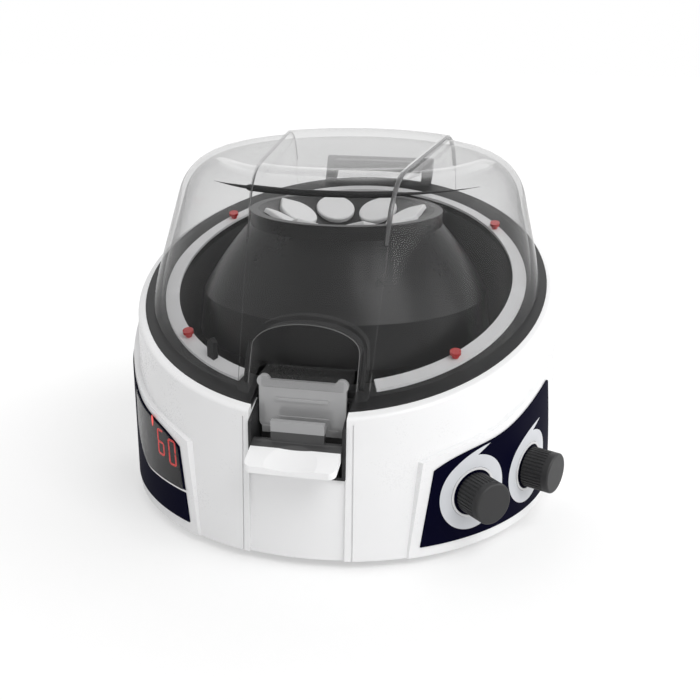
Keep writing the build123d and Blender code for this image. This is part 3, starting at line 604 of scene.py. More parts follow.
@dataclass(frozen=True)
class Lamp:
    """A soft square lamp, with its place and side in millimetres and its power in watts."""

    name: str
    place: Place
    side: float
    power: float

    def hang(self, target: Place) -> None:
        """Adds the lamp to the scene.

        Args:
            target: the place that it faces.
        """
        data = bpy.data.lights.new(self.name, "AREA")
        data.size = self.side * MM
        data.energy = self.power
        made = placed(self.name, data)
        made.location = Vector(self.place) * MM
        aim = Vector(target) * MM - made.location
        made.rotation_euler = aim.to_track_quat("-Z", "Y").to_euler()


@dataclass
class Studio:
    """Camera, lamps, floor and background."""

    camera_place: Place = (110.0, -554.7, 268.7)
    camera_azimuth: float = 10.9
    camera_pitch: float = 18.54
    camera_roll: float = 0.72
    focal_pixels: float = 956.5
    image_width: float = 700.0
    sensor_width: float = 36.0
    clip_metres: Point = (0.01, 50.0)
    world_light: float = 0.5
    floor_size: float = 12000.0
    shadow_reach: Point = (170.0, 420.0)
    shadow_share: float = 0.55
    floor_glow: float = 1.1
    lamp_target: Place = (0.0, 0.0, 90.0)
    lamps: tuple[Lamp, ...] = (
        Lamp("key_lamp", (950.0, -750.0, 1450.0), 1100.0, 16.0),
        Lamp("side_lamp", (1500.0, 100.0, 600.0), 1000.0, 6.0),
        Lamp("fill_lamp", (-1300.0, -500.0, 900.0), 1200.0, 2.0),
        Lamp("rear_lamp", (-200.0, 1300.0, 1200.0), 1200.0, 5.0),
    )

    def camera(self) -> None:
        """Sets the camera at the photograph's place."""
        angles = (self.camera_azimuth, self.camera_pitch, self.camera_roll)
        turn, pitch, roll = (math.radians(angle) for angle in angles)
        right = Vector((math.cos(turn), math.sin(turn), 0.0))
        flat = Vector((-math.sin(turn), math.cos(turn), 0.0))
        forward = flat * math.cos(pitch) - Vector((0.0, 0.0, math.sin(pitch)))
        up = right.cross(forward)
        side = right * math.cos(roll) + up * math.sin(roll)
        top = up * math.cos(roll) - right * math.sin(roll)
        data = bpy.data.cameras.new("camera")
        data.sensor_width = self.sensor_width
        data.lens = data.sensor_width * self.focal_pixels / self.image_width
        data.clip_start, data.clip_end = self.clip_metres
        made = placed("camera", data)
        axes = Matrix((side, top, -forward)).transposed().to_4x4()
        made.matrix_world = Matrix.Translation(Vector(self.camera_place) * MM) @ axes
        bpy.context.scene.camera = made

    def world(self) -> None:
        """A white surround, plain to the eye and softer as a light."""
        bpy.context.scene.world = bpy.data.worlds.new("surround")
        recipe = Recipe("surround", bpy.context.scene.world)
        camera, glossy, through = (recipe.node("ShaderNodeLightPath", out=f"Is {kind} Ray")
                                   for kind in ("Camera", "Glossy", "Transmission"))
        settings = {"operation": "ADD", "use_clamp": True}
        seen = recipe.node("ShaderNodeMath", settings, {0: camera + glossy, 1: through})
        levels = {"Value": seen, "To Min": self.world_light, "To Max": 1.0}
        level = recipe.node("ShaderNodeMapRange", sockets=levels)
        light = recipe.node("ShaderNodeBackground", sockets={"Color": WHITE, "Strength": level})
        recipe.finish(light, "ShaderNodeOutputWorld")

    def floor(self) -> None:
        """A plain pale floor that keeps a soft shadow."""
        recipe = Recipe("pale_floor")
        paper = recipe.principled(Base_Color=(0.92, 0.92, 0.92), Roughness=0.9, Specular_IOR_Level=0.1)
        glow = recipe.node("ShaderNodeEmission", sockets={"Color": WHITE, "Strength": self.floor_glow})
        settings = {"operation": "LENGTH"}
        reach = recipe.node("ShaderNodeVectorMath", settings, {0: recipe.place()}, out="Value")
        near, far = (distance * MM for distance in self.shadow_reach)
        share = reach.stepped(near, far) * self.shadow_share + (1.0 - self.shadow_share)
        path = recipe.node("ShaderNodeLightPath", out="Is Camera Ray")
        mixed = recipe.node("ShaderNodeMixShader", sockets={0: path * share, 1: paper, 2: glow})
        material = recipe.finish(mixed)
        half = self.floor_size / 2 * MM
        mesh = bpy.data.meshes.new("floor")
        corners = [(-half, -half, 0.0), (half, -half, 0.0), (half, half, 0.0), (-half, half, 0.0)]
        mesh.from_pydata(corners, [], [(0, 1, 2, 3)])
        mesh.materials.append(material)
        placed("floor", mesh)

    def build(self) -> None:
        """Sets up everything that isn't part of the object."""
        bpy.context.scene.view_settings.view_transform = "Standard"
        self.camera()
        self.world()
        self.floor()
        for lamp in self.lamps:
            lamp.hang(self.lamp_target)


@dataclass
class Housing:
    """The white moulded body, its base, feet and rim."""

    white: Colour = (0.88, 0.88, 0.885)
    black: Colour = (0.012, 0.012, 0.0125)
    chamber_black: Colour = (0.06, 0.06, 0.061)
    seal_grey: Colour = (0.85, 0.85, 0.855)
    feet: int = 4
    pegs: int = 4

    def build(self) -> None:
        """Dresses the body's nodes."""
        shell = MouldedPlastic("white_gloss_plastic", self.white, 0.3, coat=0.15, drift=0.008,
                               grain_size=0.8, grain_depth=0.002).make()
        dress(shell, "housing_shell")
        trim = MouldedPlastic("black_satin_plastic", self.black, 0.42, gloss=0.3, drift=0.06,
                              grain_depth=0.006).make()
        dress(trim, "rim_ring", "interlock_tab")
        chamber = MouldedPlastic("chamber_plastic", self.chamber_black, 0.5, gloss=0.35, drift=0.06,
                                 grain_size=1.4, grain_depth=0.002).make()
        dress(chamber, "bowl", "base_pan")
        rubber = SoftRubber("foot_rubber", (0.02, 0.02, 0.02)).make()
        dress(rubber, *(f"foot_{n + 1}" for n in range(self.feet)))
        dress(SoftRubber("seal_rubber", self.seal_grey, 0.6).make(), "bowl_seal")
        peg = MouldedPlastic("red_peg_plastic", (0.58, 0.02, 0.02), 0.35, coat=0.2).make()
        dress(peg, *(f"lid_buffer_{n + 1}" for n in range(self.pegs)))


@dataclass
class Lid:
    """The clear lid with its raised band and finger recess, its tongue, hinge plate and brackets.

    The front wall leans back more than the sides, so the top's outline is an oval that is set back.
    """

    tint: Colour = (0.906, 0.906, 0.907)
    smoke: Colour = (0.6, 0.6, 0.605)
    tongue_grey: Colour = (0.5, 0.5, 0.505)
    foot_radius: float = 116.3
    foot_height: float = 60.0
    rim_centre: float = 127.0
    rim_slope: float = 0.348239
    rest: float = 3.3
    top_front: float = 70.0
    top_rear: float = 102.0
    top_half_width: float = 98.0
    top_height: float = 199.0
    top_slope: float = 0.066
    shoulder: float = 30.0
    wall: float = 3.0
    band_raise: float = 2.4
    band_half: float = 45.5
    band_spread: float = 0.1
    band_reach: float = 200.0
    above: float = 260.0
    beyond: float = 300.0
    arch_half: float = 28.0
    arch_top: float = 125.5
    arch_side: float = 113.0
    arch_low: float = 40.0
    arch_face: float = 92.0
    arch_steps: int = 24
    # Pale line of painted highlight along the recess edge, then dark lines of painted shade beside its
    # sides:
    highlight_out: float = 0.4
    highlight_radius: float = 0.22
    highlight_low: float = 95.5
    highlight_steps: int = 6
    post_out: float = 1.8
    post_radius: float = 1.4
    post_taper: Place = (1.2, 0.8, 0.3)
    post_rise: float = 3.0
    root_half: float = 23.5
    root_front: float = 111.6
    root_lap: float = 1.0
    root_corner: float = 4.0
    root_steps: int = 8
    root_low: float = 94.2
    root_high: float = 99.6
    skirt_half: float = 21.5
    skirt_front: float = 111.4
    skirt_rear: float = 109.4
    skirt_low: float = 69.0
    skirt_high: float = 72.6
    # Dark line of painted shade along the band's front edge, standing for the clear edge's dark look:
    shade_line_share: float = 0.4
    shade_line_sink: float = -0.9
    shade_line_reach: Point = (-44.0, 57.0)
    shade_line_thick: Point = (-27.0, 24.0)
    shade_line_radius: float = 1.8
    shade_line_end: float = 0.95
    shade_line_tip: float = 0.12
    shade_line_steps: int = 72
    # Dark lines of painted shade along the band's sides, right then left; the right is thicker, as the shade
    # looks from the front right:
    side_radii: Point = (1.35, 0.4)
    side_front: float = -80.0
    side_length: float = 178.0
    side_inset: float = 0.8
    side_sink: float = 1.2
    side_steps: int = 22
    edge_round: float = 0.7
    edge_angle: float = 35.0
    sharp_angle: float = 32.0
    around: int = 144
    up_wall: int = 6
    up_round: int = 12
    across_top: int = 5

    def outline(self, angle: float, grow: float) -> dict[str, Vector]:
        """The points that draw the lid's section in one direction.

        Args:
            angle: direction round the lid, in radians from the front.
            grow: how far the surface stands outside the plain lid.

        Returns:
            The wall's base, the shoulder's start, corner and end, and the top's centre, in millimetres.
        """
        middle = (self.top_rear - self.top_front) / 2
        half_depth = (self.top_rear + self.top_front) / 2
        out = Vector((math.sin(angle), -math.cos(angle), 0.0))
        low = self.rim_centre - self.foot_radius * math.cos(angle) * self.rim_slope
        foot = out * (self.foot_radius + grow) + Vector((0.0, 0.0, low))
        depth = middle - (half_depth + grow) * math.cos(angle)
        corner = Vector(((self.top_half_width + grow) * math.sin(angle), depth,
                         self.top_height + grow + depth * self.top_slope))
        centre = Vector((0.0, middle, self.top_height + grow + middle * self.top_slope))
        rise = (corner - foot).normalized()
        inward = (centre - corner).normalized()
        cut = (self.shoulder + grow) * math.tan(rise.angle(inward) / 2)
        return {"base": foot - rise * ((low - self.foot_height) / rise.z), "start": corner - rise * cut,
                "corner": corner, "end": corner + inward * cut, "centre": centre}

    def on_shoulder(self, angle: float, share: float, grow: float) -> Vector:
        """A point of the round shoulder.

        Args:
            angle: direction round the lid, in radians from the front.
            share: from 0 at the wall to 1 at the top.
            grow: how far the surface stands outside the plain lid.

        Returns:
            The point in millimetres.
        """
        drawn = self.outline(angle, grow)
        start, corner, end = drawn["start"], drawn["corner"], drawn["end"]
        weight = math.cos((corner - start).angle(end - corner) / 2)
        shares = ((1 - share) ** 2, 2 * share * (1 - share) * weight, share * share)
        return (start * shares[0] + corner * shares[1] + end * shares[2]) / sum(shares)

    def profile(self, angle: float, grow: float) -> list[Vector]:
        """Points up the wall, round the shoulder and in to just short of the top's centre.

        Args:
            angle: direction round the lid, in radians from the front.
            grow: how far the surface stands outside the plain lid.

        Returns:
            The points in millimetres.
        """
        drawn = self.outline(angle, grow)
        points = [drawn["base"].lerp(drawn["start"], step / self.up_wall) for step in range(self.up_wall)]
        points += [self.on_shoulder(angle, step / self.up_round, grow) for step in range(self.up_round + 1)]
        shares = [step / self.across_top for step in range(1, self.across_top)]
        points += [drawn["end"].lerp(drawn["centre"], share) for share in shares]
        return points

    def shell(self, name: str, grow: float) -> bpy.types.Object:
        """A closed solid under the lid's surface.

        Args:
            name: name of the solid.
            grow: how far its surface stands outside the plain lid.

        Returns:
            The new object.
        """
        work = bmesh.new()
        rows = [[work.verts.new(point * MM) for point in self.profile(2 * math.pi * n / self.around, grow)]
                for n in range(self.around)]
        peak = work.verts.new(self.outline(0.0, grow)["centre"] * MM)
        for n, row in enumerate(rows):
            after = rows[(n + 1) % self.around]
            for k in range(len(row) - 1):
                work.faces.new((row[k], after[k], after[k + 1], row[k + 1]))
            work.faces.new((row[-1], after[-1], peak))
        work.faces.new([row[0] for row in reversed(rows)])
        bmesh.ops.recalc_face_normals(work, faces=work.faces)
        return self.stored(name, work)

    def stored(self, name: str, work: bmesh.types.BMesh) -> bpy.types.Object:
        """Turns a working mesh into an object in the scene.

        Args:
            name: name of the object.
            work: the working mesh, which is freed.

        Returns:
            The new object.
        """
        mesh = bpy.data.meshes.new(name)
        work.to_mesh(mesh)
        work.free()
        return placed(name, mesh)

    def block(self, name: str, ends: Sequence[Sequence[Place]]) -> bpy.types.Object:
        """A solid between two outlines that have as many corners as each other.

        Args:
            name: name of the solid.
            ends: corners of both outlines in millimetres.

        Returns:
            The new object.
        """
        work = bmesh.new()
        first, last = [[work.verts.new(Vector(place) * MM) for place in end] for end in ends]
        for n in range(len(first)):
            after = (n + 1) % len(first)
            work.faces.new((first[n], first[after], last[after], last[n]))
        work.faces.new(first)
        work.faces.new(list(reversed(last)))
        bmesh.ops.recalc_face_normals(work, faces=work.faces)
        return self.stored(name, work)

    def prism(self, name: str, outline: Sequence[Point], low: float, high: float,
              upright: bool = True) -> bpy.types.Object:
        """A prism from a drawn outline.

        Args:
            name: name of the solid.
            outline: points in plan where upright, and otherwise across and up as seen from the front.
            low: where it starts.
            high: where it ends.
            upright: whether it runs up rather than from front to back.

        Returns:
            The new object.
        """
        return self.block(name, [[(a, b, level) if upright else (a, level, b) for a, b in outline]
                                 for level in (low, high)])

    def crown(self, grow: float, hand: int) -> list[Point]:
        """Points over the top of the finger recess, across and up.

        Args:
            grow: how far they stand outside the recess.
            hand: 1 to start at the right and -1 to start at the left.

        Returns:
            The points.
        """
        half, top, side = self.arch_half + grow, self.arch_top + grow, self.arch_side
        turns = [math.pi * k / self.arch_steps for k in range(self.arch_steps + 1)]
        return [(hand * half * math.cos(turn), side + (top - side) * math.sin(turn)) for turn in turns]

    def arch(self, name: str, grow: float) -> bpy.types.Object:
        """The arched space of the finger recess.

        Args:
            name: name of the solid.
            grow: how far it stands outside the recess.

        Returns:
            The new object.
        """
        half = self.arch_half + grow
        outline = [(-half, self.arch_low), (half, self.arch_low), *self.crown(grow, 1)]
        return self.prism(name, outline, -self.band_reach, -(self.arch_face - grow), False)

    def cut(self, target: bpy.types.Object, tool: bpy.types.Object, operation: str) -> None:
        """Applies a boolean and removes its tool.

        Args:
            target: the solid that changes.
            tool: the solid that it is joined to, cut by or kept inside.
            operation: UNION, DIFFERENCE or INTERSECT.
        """
        modifier = target.modifiers.new("cut", "BOOLEAN")
        modifier.operation = operation
        modifier.solver = "EXACT"
        modifier.object = tool
        graph = bpy.context.evaluated_depsgraph_get()
        result = bpy.data.meshes.new_from_object(target.evaluated_get(graph))
        target.modifiers.clear()
        target.data = result
        bpy.data.objects.remove(tool)

    def under(self, name: str, lift: float) -> bpy.types.Object:
        """A large block under the plane on which the lid rests.

        Args:
            name: name of the solid.
            lift: how far the plane lies above the rim.

        Returns:
            The new object.
        """
        reach = self.beyond
        low, high = (self.rim_centre + lift + y * self.rim_slope for y in (-reach, reach))
        outline = [(-reach, -reach), (reach, -reach), (reach, high), (-reach, low)]
        return self.block(name, [[(x, y, z) for y, z in outline] for x in (-reach, reach)])

    def dome(self) -> bpy.types.Object:
        """Builds the whole clear moulding.

        Returns:
            The moulding, without a finish.
        """
        dome = self.shell("lid_moulding", 0.0)
        band = self.shell("band_space", self.band_raise)
        reach = self.band_reach
        front, rear = (self.band_half + self.band_spread * y for y in (-reach, reach))
        strip = [(-front, -reach), (front, -reach), (rear, reach), (-rear, reach)]
        self.cut(band, self.prism("band_sides", strip, 0.0, self.above), "INTERSECT")
        self.cut(dome, band, "UNION")
        self.cut(dome, self.arch("recess", 0.0), "DIFFERENCE")
        inside = self.shell("inside", -self.wall)
        self.cut(inside, self.arch("recess_wall", self.wall), "DIFFERENCE")
        self.cut(dome, inside, "DIFFERENCE")
        self.cut(dome, self.under("under_rim", self.rest), "DIFFERENCE")
        bevel = dome.modifiers.new("soft_edges", "BEVEL")
        bevel.width = self.edge_round * MM
        bevel.segments = 2
        bevel.limit_method = "ANGLE"
        bevel.angle_limit = math.radians(self.edge_angle)
        for polygon in dome.data.polygons:
            polygon.use_smooth = True
        dome.data.set_sharp_from_angle(angle=math.radians(self.sharp_angle))
        return dome

    def side_path(self, surface: BVHTree, side: int) -> list[Vector]:
        """Line along one edge of the band, on the lid's outer surface.

        Args:
            surface: the moulding's faces, for looking down at.
            side: 1 for the right edge and -1 for the left.

        Returns:
            Points in metres, from the front to the rear.
        """
        path = []
        for step in range(self.side_steps + 1):
            y = self.side_front + self.side_length * step / self.side_steps
            x = side * (self.band_half + self.band_spread * y - self.side_inset)
            start = Vector((x, y, self.above)) * MM
            hit = surface.ray_cast(start, Vector((0.0, 0.0, -1.0)))[0]
            if hit is not None:
                path.append(hit - Vector((0.0, 0.0, self.side_sink * MM)))
        return path

    def recess_lines(self, surface: BVHTree, dark: bpy.types.Material) -> None:
        """Draws the edge of the finger recess, with a pale line of painted highlight and a dark line of
        painted shade outside each upright side.

        Args:
            surface: the moulding's faces, for looking at from the front.
            dark: the finish of the lines of painted shade.
        """
        depth = Vector((0.0, 1.0, 0.0))

        def front(x: float, z: float, sink: float) -> Vector:
            """Point of the lid's front at a place across and up, sunk into it."""
            hit = surface.ray_cast(Vector((x, -self.beyond, z)) * MM, depth)[0]
            return hit + depth * sink * MM

        # Pale line of painted highlight along the recess edge.
        pale = ClearPlastic("recess_highlight_plastic", (0.7, 0.7, 0.7), haze=0.3, haze_colour=(0.3, 0.3, 0.3),
                            roughness=0.2).make()
        half, low, side = self.arch_half + self.highlight_out, self.highlight_low, self.arch_side
        levels = [low + (side - low) * k / self.highlight_steps for k in range(self.highlight_steps)]
        crown = self.crown(self.highlight_out, -1)
        line = [*((-half, z) for z in levels), *crown, *((half, z) for z in reversed(levels))]
        highlight_points = [front(x, z, 0.0) for x, z in line]
        bead("lid_recess_highlight_line", highlight_points, [self.highlight_radius] * len(line), pale, "lid", "clear_lid", depth)
        heights = [*levels, side, side + self.post_rise]
        radii = [self.post_radius] * (len(heights) - len(self.post_taper)) + list(self.post_taper)
        # Dark upright lines of painted shade outside the recess sides.
        for name, hand in (("lid_recess_left_shade_line", -1), ("lid_recess_right_shade_line", 1)):
            post = [front(hand * (half + self.post_out), z, self.post_out) for z in heights]
            bead(name, post, radii, dark, "lid", "clear_lid", depth)

    def painted_shade_lines(self, dome: bpy.types.Object) -> None:
        """Adds dark lines of painted shade along the band's front and side edges, standing for the dark look
        of the clear band's edges.

        Args:
            dome: the clear moulding.
        """
        # Finishes of the lines of painted shade along the band's edges.
        dark = ClearPlastic("side_shade_line_plastic", (0.35, 0.35, 0.355), haze=0.55, haze_colour=(0.09, 0.09, 0.092),
                            roughness=0.2).make()
        darker = MouldedPlastic("front_shade_line_plastic", (0.012, 0.012, 0.0125), 0.4, gloss=0.2).make()
        surface = BVHTree.FromPolygons([v.co for v in dome.data.vertices],
                                       [list(p.vertices) for p in dome.data.polygons])
        (left, right), (thick_left, thick_right) = self.shade_line_reach, self.shade_line_thick
        path, radii = [], []
        for step in range(self.shade_line_steps + 1):
            turn = left + (right - left) * step / self.shade_line_steps
            path.append(self.on_shoulder(math.radians(turn), self.shade_line_share, self.shade_line_sink) * MM)
            fade = (right - turn) / (right - thick_right)
            if turn < 0.0:
                fade = (turn - left) / (thick_left - left)
            thick = thick_left < turn < thick_right
            radii.append(self.shade_line_radius if thick else self.shade_line_end * max(self.shade_line_tip, fade))
        bead("lid_front_shade_line", path, radii, darker, "lid", "clear_lid")
        self.recess_lines(surface, darker)
        for name, side, radius in zip(("lid_right_shade_line", "lid_left_shade_line"), (1, -1), self.side_radii):
            line = self.side_path(surface, side)
            bead(name, line, [radius] * len(line), dark, "lid", "clear_lid")

    def root(self, clear: bpy.types.Material, finish: bpy.types.Material) -> None:
        """Joins the tongue to the face of the finger recess with a clear shelf, and adds its lower edge.

        Args:
            clear: the lid's own finish.
            finish: the tongue's own finish.
        """
        half, front, corner = self.root_half, self.root_front, self.root_corner
        rear = self.arch_face - self.root_lap
        turns = [math.pi / 2 * k / self.root_steps for k in range(self.root_steps + 1)]
        right = [(half - corner + corner * math.sin(turn), -front + corner - corner * math.cos(turn))
                 for turn in turns]
        outline = [*right, (half, -rear), (-half, -rear), *((-x, y) for x, y in reversed(right))]
        shelf = self.prism("tongue_root", outline, self.root_low, self.root_high)
        settle(shelf, clear, "lid")
        half, front, rear = self.skirt_half, self.skirt_front, self.skirt_rear
        corners = [(-half, -front), (half, -front), (half, -rear), (-half, -rear)]
        below = self.prism("tongue_skirt", corners, self.skirt_low, self.skirt_high)
        settle(below, finish, "lid")

    def build(self) -> None:
        """Makes the clear moulding and dresses the lid's nodes."""
        dome = self.dome()
        self.painted_shade_lines(dome)
        clear = ClearPlastic("clear_lid_plastic", self.tint).make()
        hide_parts("lid_dome")
        settle(dome, clear, "lid")
        tongue = ClearPlastic("smoked_tongue_plastic", self.smoke, haze=0.7, haze_colour=self.tongue_grey,
                              roughness=0.2).make()
        dress(tongue, "latch_tongue")
        self.root(clear, tongue)
        arm = MouldedPlastic("hinge_black_plastic", (0.03, 0.03, 0.031), 0.42).make()
        dress(arm, "lid_hinge_plate", "hinge_bracket_left", "hinge_bracket_right")
        dress(BareMetal("hinge_steel", (0.6, 0.6, 0.61)).make(), "hinge_pin")


@dataclass
class Latch:
    """The white release lever in its pocket, with its hook in front of the smoked tongue."""

    white: Colour = (0.92, 0.92, 0.925)

    def build(self) -> None:
        """Dresses the latch's nodes."""
        lever = LatchPlastic("white_lever_plastic", self.white, 0.32, coat=0.15, drift=0.01,
                             grain_depth=0.005)
        dress(lever.make(), "release_lever")
        pocket = MouldedPlastic("pocket_black_plastic", (0.02, 0.02, 0.021), 0.5, gloss=0.3).make()
        dress(pocket, "latch_pocket")
        dress(BareMetal("pin_steel", (0.62, 0.62, 0.63), 0.25).make(), "lever_pin", "lever_spring")


@dataclass
class Rotor:
    """The dark rotor, its tube shields, caps, nut and shaft."""

    places: int = 8
    dark: Colour = (0.011, 0.011, 0.0113)

    def build(self) -> None:
        """Dresses the rotor's nodes."""
        body = MouldedPlastic("rotor_satin_plastic", self.dark, 0.3, gloss=0.3, drift=0.06,
                              grain_size=1.4, grain_depth=0.0002).make()
        dress(body, "rotor_body")
        numbers = range(1, self.places + 1)
        shield = MouldedPlastic("shield_grey_plastic", (0.4, 0.4, 0.41), 0.45).make()
        dress(shield, *(f"tube_shield_{n}" for n in numbers))
        cap = MouldedPlastic("cap_white_plastic", (0.93, 0.93, 0.93), 0.4, drift=0.02,
                             grain_depth=0.006).make()
        dress(cap, *(f"tube_cap_{n}" for n in numbers))
        dress(BareMetal("nut_steel", (0.6, 0.6, 0.61), 0.28, Lay.ALONG_Z).make(), "rotor_nut", "motor_shaft")
        dress(BareMetal("motor_alloy", (0.5, 0.5, 0.51), 0.45, Lay.CAST).make(), "motor_body")


@dataclass
class ControlPanel:
    """The right-hand panel with its two knobs and printed dials."""

    azimuths: tuple[float, float] = (43.5, 65.0)
    names: tuple[str, str] = ("speed", "time")
    height: float = 37.0
    film_radius: float = 129.05
    ring_inner: float = 14.3
    ring_outer: float = 21.3
    collar_inner: float = 12.9
    collar_gap: float = 0.15
    collar_lift: float = 0.3
    mark_lift: float = 0.02
    mark_thickness: float = 0.06
    tail_points: tuple[Point, Point, Point] = ((-16.6, 13.3), (-7.0, 24.0), (10.0, 26.2))
    tail_leave: float = 0.72
    tail_across: float = 1.5
    tail_lap: float = 0.05
    tail_steps: int = 18

    def tail(self) -> tuple[list[Point], list[Point]]:
        """Draws the pointed tail that sweeps off the dial ring.

        Returns:
            Its inner and outer edges.
        """
        start, bend, tip = self.tail_points
        outer, inner = [], []
        for index in range(self.tail_steps + 1):
            u = index / self.tail_steps
            weights = ((1 - u) ** 2, 2 * u * (1 - u), u * u)
            outer.append(tuple(sum(w * v for w, v in zip(weights, axis)) for axis in zip(start, bend, tip)))
            across = start[0] + (self.tail_across - start[0]) * min(1.0, u / self.tail_leave)
            on_ring = math.sqrt(self.ring_outer ** 2 - across ** 2) - self.tail_lap
            late = max(0.0, (u - self.tail_leave) / (1.0 - self.tail_leave))
            inner.append((across + (tip[0] - across) * late,
                          on_ring + (tip[1] - self.tail_lap - on_ring) * late))
        return inner, outer

    def mark(self, azimuth: float, name: str, ink: bpy.types.Material, pale: bpy.types.Material) -> None:
        """Lays one printed dial round a knob.

        Args:
            azimuth: where the knob stands.
            name: the knob's name.
            ink: the ring's light ink.
            pale: the paler collar next to the knob.
        """
        wrap = Wrap(azimuth, self.height, self.film_radius)
        low, high = self.mark_lift, self.mark_lift + self.mark_thickness
        rings = circle(self.ring_inner), circle(self.ring_outer)
        collars = circle(self.collar_inner), circle(self.ring_inner - self.collar_gap)
        for kind, lines, top, closed, finish in (("ring", rings, high, True, ink),
                                                 ("tail", self.tail(), high, False, ink),
                                                 ("collar", collars, high + self.collar_lift, True, pale)):
            shape = ribbon(wrap, *lines, low, top, closed)
            solid(f"{name}_dial_{kind}", *shape, finish, "base", "white_housing")

    def build(self) -> None:
        """Dresses the panel's nodes and lays its print."""
        dress(PrintedFilm("navy_film", (0.0008, 0.0008, 0.0105)).make(), "control_overlay")
        knob = MouldedPlastic("knob_black_plastic", (0.022, 0.022, 0.023), 0.5, gloss=0.4, drift=0.08,
                              grain_size=0.35, grain_depth=0.015).make()
        dress(knob, *(f"{name}_knob" for name in self.names))
        shaft = BareMetal("shaft_alloy", (0.6, 0.6, 0.61), 0.3).make()
        dress(shaft, *(f"{name}_shaft" for name in self.names))
        pot = BareMetal("pot_alloy", (0.55, 0.55, 0.55), 0.4, Lay.CAST).make()
        dress(pot, *(f"{name}_pot" for name in self.names))
        board = MouldedPlastic("board_green_laminate", (0.015, 0.12, 0.04), 0.4, drift=0.1).make()
        dress(board, "control_board", "display_board")
        ink = PrintedFilm("dial_grey_ink", (0.7, 0.715, 0.745), 0.55, 0.3).make()
        pale = MouldedPlastic("dial_collar_plastic", (0.8, 0.8, 0.81), 0.4).make()
        for azimuth, name in zip(self.azimuths, self.names):
            self.mark(azimuth, name, ink, pale)


class Segment(Enum):
    """The seven bars of a digit, as their two ends in half widths and half heights."""

    TOP = ((-1.0, 1.0), (1.0, 1.0))
    UPPER_LEFT = ((-1.0, 1.0), (-1.0, 0.0))
    UPPER_RIGHT = ((1.0, 1.0), (1.0, 0.0))
    MIDDLE = ((-1.0, 0.0), (1.0, 0.0))
    LOWER_LEFT = ((-1.0, 0.0), (-1.0, -1.0))
    LOWER_RIGHT = ((1.0, 0.0), (1.0, -1.0))
    BOTTOM = ((-1.0, -1.0), (1.0, -1.0))


SIX = (Segment.TOP, Segment.UPPER_LEFT, Segment.MIDDLE, Segment.LOWER_LEFT, Segment.LOWER_RIGHT,
       Segment.BOTTOM)
ZERO = (Segment.TOP, Segment.UPPER_LEFT, Segment.UPPER_RIGHT, Segment.LOWER_LEFT, Segment.LOWER_RIGHT,
        Segment.BOTTOM)


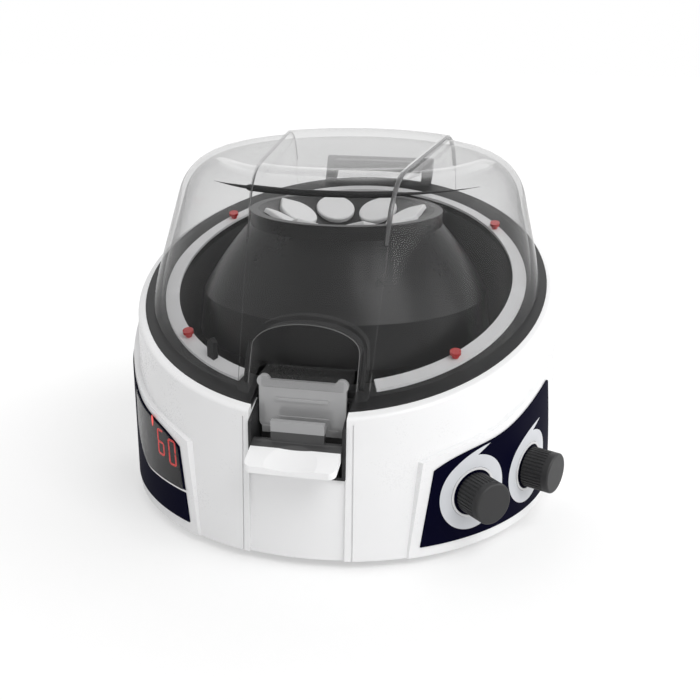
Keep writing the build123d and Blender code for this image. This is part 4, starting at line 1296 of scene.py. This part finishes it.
@dataclass
class DisplayPanel:
    """The left-hand panel with its dark window, digits and divider line."""

    film_radius: float = 129.05
    window_radius: float = 129.7
    lamp_place: Point = (-44.0, 61.5)
    six_place: Point = (-39.9, 51.6)
    zero_place: Point = (-34.8, 49.3)
    half_width: float = 2.9
    half_height: float = 7.0
    slant: float = -0.06
    bar: float = 0.5
    stroke: float = 0.26
    gap: float = 0.15
    pod_azimuth: float = 63.0
    pod_radius: float = 128.3
    window_front: float = 29.9
    window_rear: float = 57.0
    window_bottom: float = 30.0
    window_round: float = 24.0
    window_top: float = 69.0
    line_width: float = 1.1
    line_gap: float = 0.1
    line_lift: Point = (0.02, 0.3)
    line_steps: int = 16
    line_rise_steps: int = 6
    digit_lift: Point = (0.02, 0.08)
    lamp_lift: Point = (0.03, 0.09)
    lamp_half: float = 1.9
    lamp_height: float = 6.8
    lamp_point: float = 0.08
    lamp_blunt: float = 0.7
    lamp_taper: float = 0.35
    lamp_least: float = 0.02
    lamp_steps: int = 12

    def bar_lines(self, segment: Segment, thick: float) -> list[Point]:
        """Outline of one bar of a digit, pointed at both ends.

        Args:
            segment: which bar.
            thick: half its thickness.

        Returns:
            Its six corners.
        """
        ends = []
        for across, up in segment.value:
            height = up * self.half_height
            ends.append(Vector((across * self.half_width + height * self.slant, height)))
        along = (ends[1] - ends[0]).normalized()
        side = Vector((-along.y, along.x)) * thick
        inset = along * (self.gap + self.bar - thick)
        first, last = ends[0] + inset, ends[1] - inset
        shoulder = along * thick
        corners = [first, first + shoulder + side, last - shoulder + side, last, last - shoulder - side,
                   first + shoulder - side]
        return [tuple(corner) for corner in corners]

    def digit(self, name: str, place: Point, segments: Sequence[Segment], glow: bpy.types.Material) -> None:
        """Lays one lit digit, drawn in outline, on the window.

        Args:
            name: name of the piece.
            place: azimuth and height of its middle.
            segments: the bars that are lit.
            glow: their finish.
        """
        wrap = Wrap(*place, self.window_radius)
        points: list[Vector] = []
        faces: list[list[int]] = []
        for segment in segments:
            lines = self.bar_lines(segment, self.bar - self.stroke), self.bar_lines(segment, self.bar)
            bar_points, bar_faces = ribbon(wrap, *lines, *self.digit_lift, True)
            faces += [[corner + len(points) for corner in face] for face in bar_faces]
            points += bar_points
        solid(name, points, faces, glow, "base", "display_glass")

    def divider(self, ink: bpy.types.Material) -> None:
        """Lays the pale line along the window's lower and rear edges.

        Args:
            ink: its finish.
        """
        def drawn(azimuth: float) -> float:
            """Place across the pod's drawing of an azimuth."""
            return self.pod_radius * math.sin(math.radians(azimuth - self.pod_azimuth))

        def edge(out: float) -> list[Point]:
            """The window's edge, moved outward.

            Args:
                out: how far it is moved.

            Returns:
                Its points, as arc lengths and heights.
            """
            front, rear = drawn(self.window_front), drawn(self.window_rear)
            bottom, turn, steps = self.window_bottom, self.window_round, self.line_steps
            line = [(front + (rear - turn - front) * k / steps, bottom - out) for k in range(steps)]
            for k in range(steps + 1):
                angle = math.radians(-90.0 + 90.0 * k / steps)
                line.append((rear - turn + (turn + out) * math.cos(angle),
                             bottom + turn + (turn + out) * math.sin(angle)))
            shares = [k / self.line_rise_steps for k in range(1, self.line_rise_steps + 1)]
            rise = self.window_top - bottom - turn
            line += [(rear + out, bottom + turn + rise * share) for share in shares]
            azimuths = [self.pod_azimuth + math.degrees(math.asin(x / self.pod_radius)) for x, _ in line]
            return [(-math.radians(azimuth) * self.film_radius, height)
                    for azimuth, (_, height) in zip(azimuths, line)]

        edges = edge(self.line_gap + self.line_width), edge(self.line_gap)
        line = ribbon(Wrap(0.0, 0.0, self.film_radius), *edges, *self.line_lift, False)
        solid("display_divider", *line, ink, "base", "white_housing")

    def lamp_mark(self, glow: bpy.types.Material) -> None:
        """Lays the red drop-shaped lamp above the digits.

        Args:
            glow: its finish.
        """
        outer = []
        for k in range(self.lamp_steps + 1):
            u = k / self.lamp_steps
            swell = math.sin(math.pi * (self.lamp_point + (1.0 - self.lamp_point) * u)) ** self.lamp_blunt
            taper = self.lamp_taper + (1.0 - self.lamp_taper) * u
            outer.append((self.lamp_half * swell * taper + self.lamp_least, (u - 0.5) * self.lamp_height))
        inner = [(-half, up) for half, up in outer]
        wrap = Wrap(*self.lamp_place, self.window_radius)
        drop = ribbon(wrap, inner, outer, *self.lamp_lift, False)
        solid("display_lamp", *drop, glow, "base", "display_glass")

    def build(self) -> None:
        """Dresses the panel's nodes and lays its digits."""
        dress(PrintedFilm("navy_film_left", (0.0008, 0.0008, 0.0105)).make(), "display_overlay")
        window = ClearPlastic("smoked_window_plastic", (0.4, 0.4, 0.41), haze=0.2,
                              haze_colour=(0.04, 0.04, 0.042), shine=0.03, roughness=0.25)
        dress(window.make(), "display_window")
        glow = LitSegment("digit_red_glow", (0.9, 0.07, 0.06), 1.1).make()
        self.digit("digit_six", self.six_place, SIX, glow)
        self.digit("digit_zero", self.zero_place, ZERO, glow)
        self.lamp_mark(glow)
        self.divider(PrintedFilm("divider_white_ink", (0.82, 0.82, 0.83), 0.5, 0.3).make())


@dataclass
class MainsSide:
    """The inlet and power rocker at the rear."""

    def build(self) -> None:
        """Dresses the mains side's nodes."""
        frame_plastic = MouldedPlastic("inlet_black_plastic", (0.02, 0.02, 0.021), 0.45,
                                       grain_depth=0.012).make()
        dress(frame_plastic, "mains_inlet", "rocker_frame")
        rocker = MouldedPlastic("rocker_black_plastic", (0.015, 0.015, 0.016), 0.3, coat=0.3).make()
        dress(rocker, "power_rocker")


def main() -> None:
    """Builds every sub-assembly in order."""
    logging.basicConfig(level=logging.INFO, format="%(name)s: %(message)s")
    for part in (Studio(), Housing(), Lid(), Latch(), Rotor(), ControlPanel(), DisplayPanel(), MainsSide()):
        part.build()
        LOG.info("%s is done", type(part).__name__)


if __name__ == "__main__":
    main()
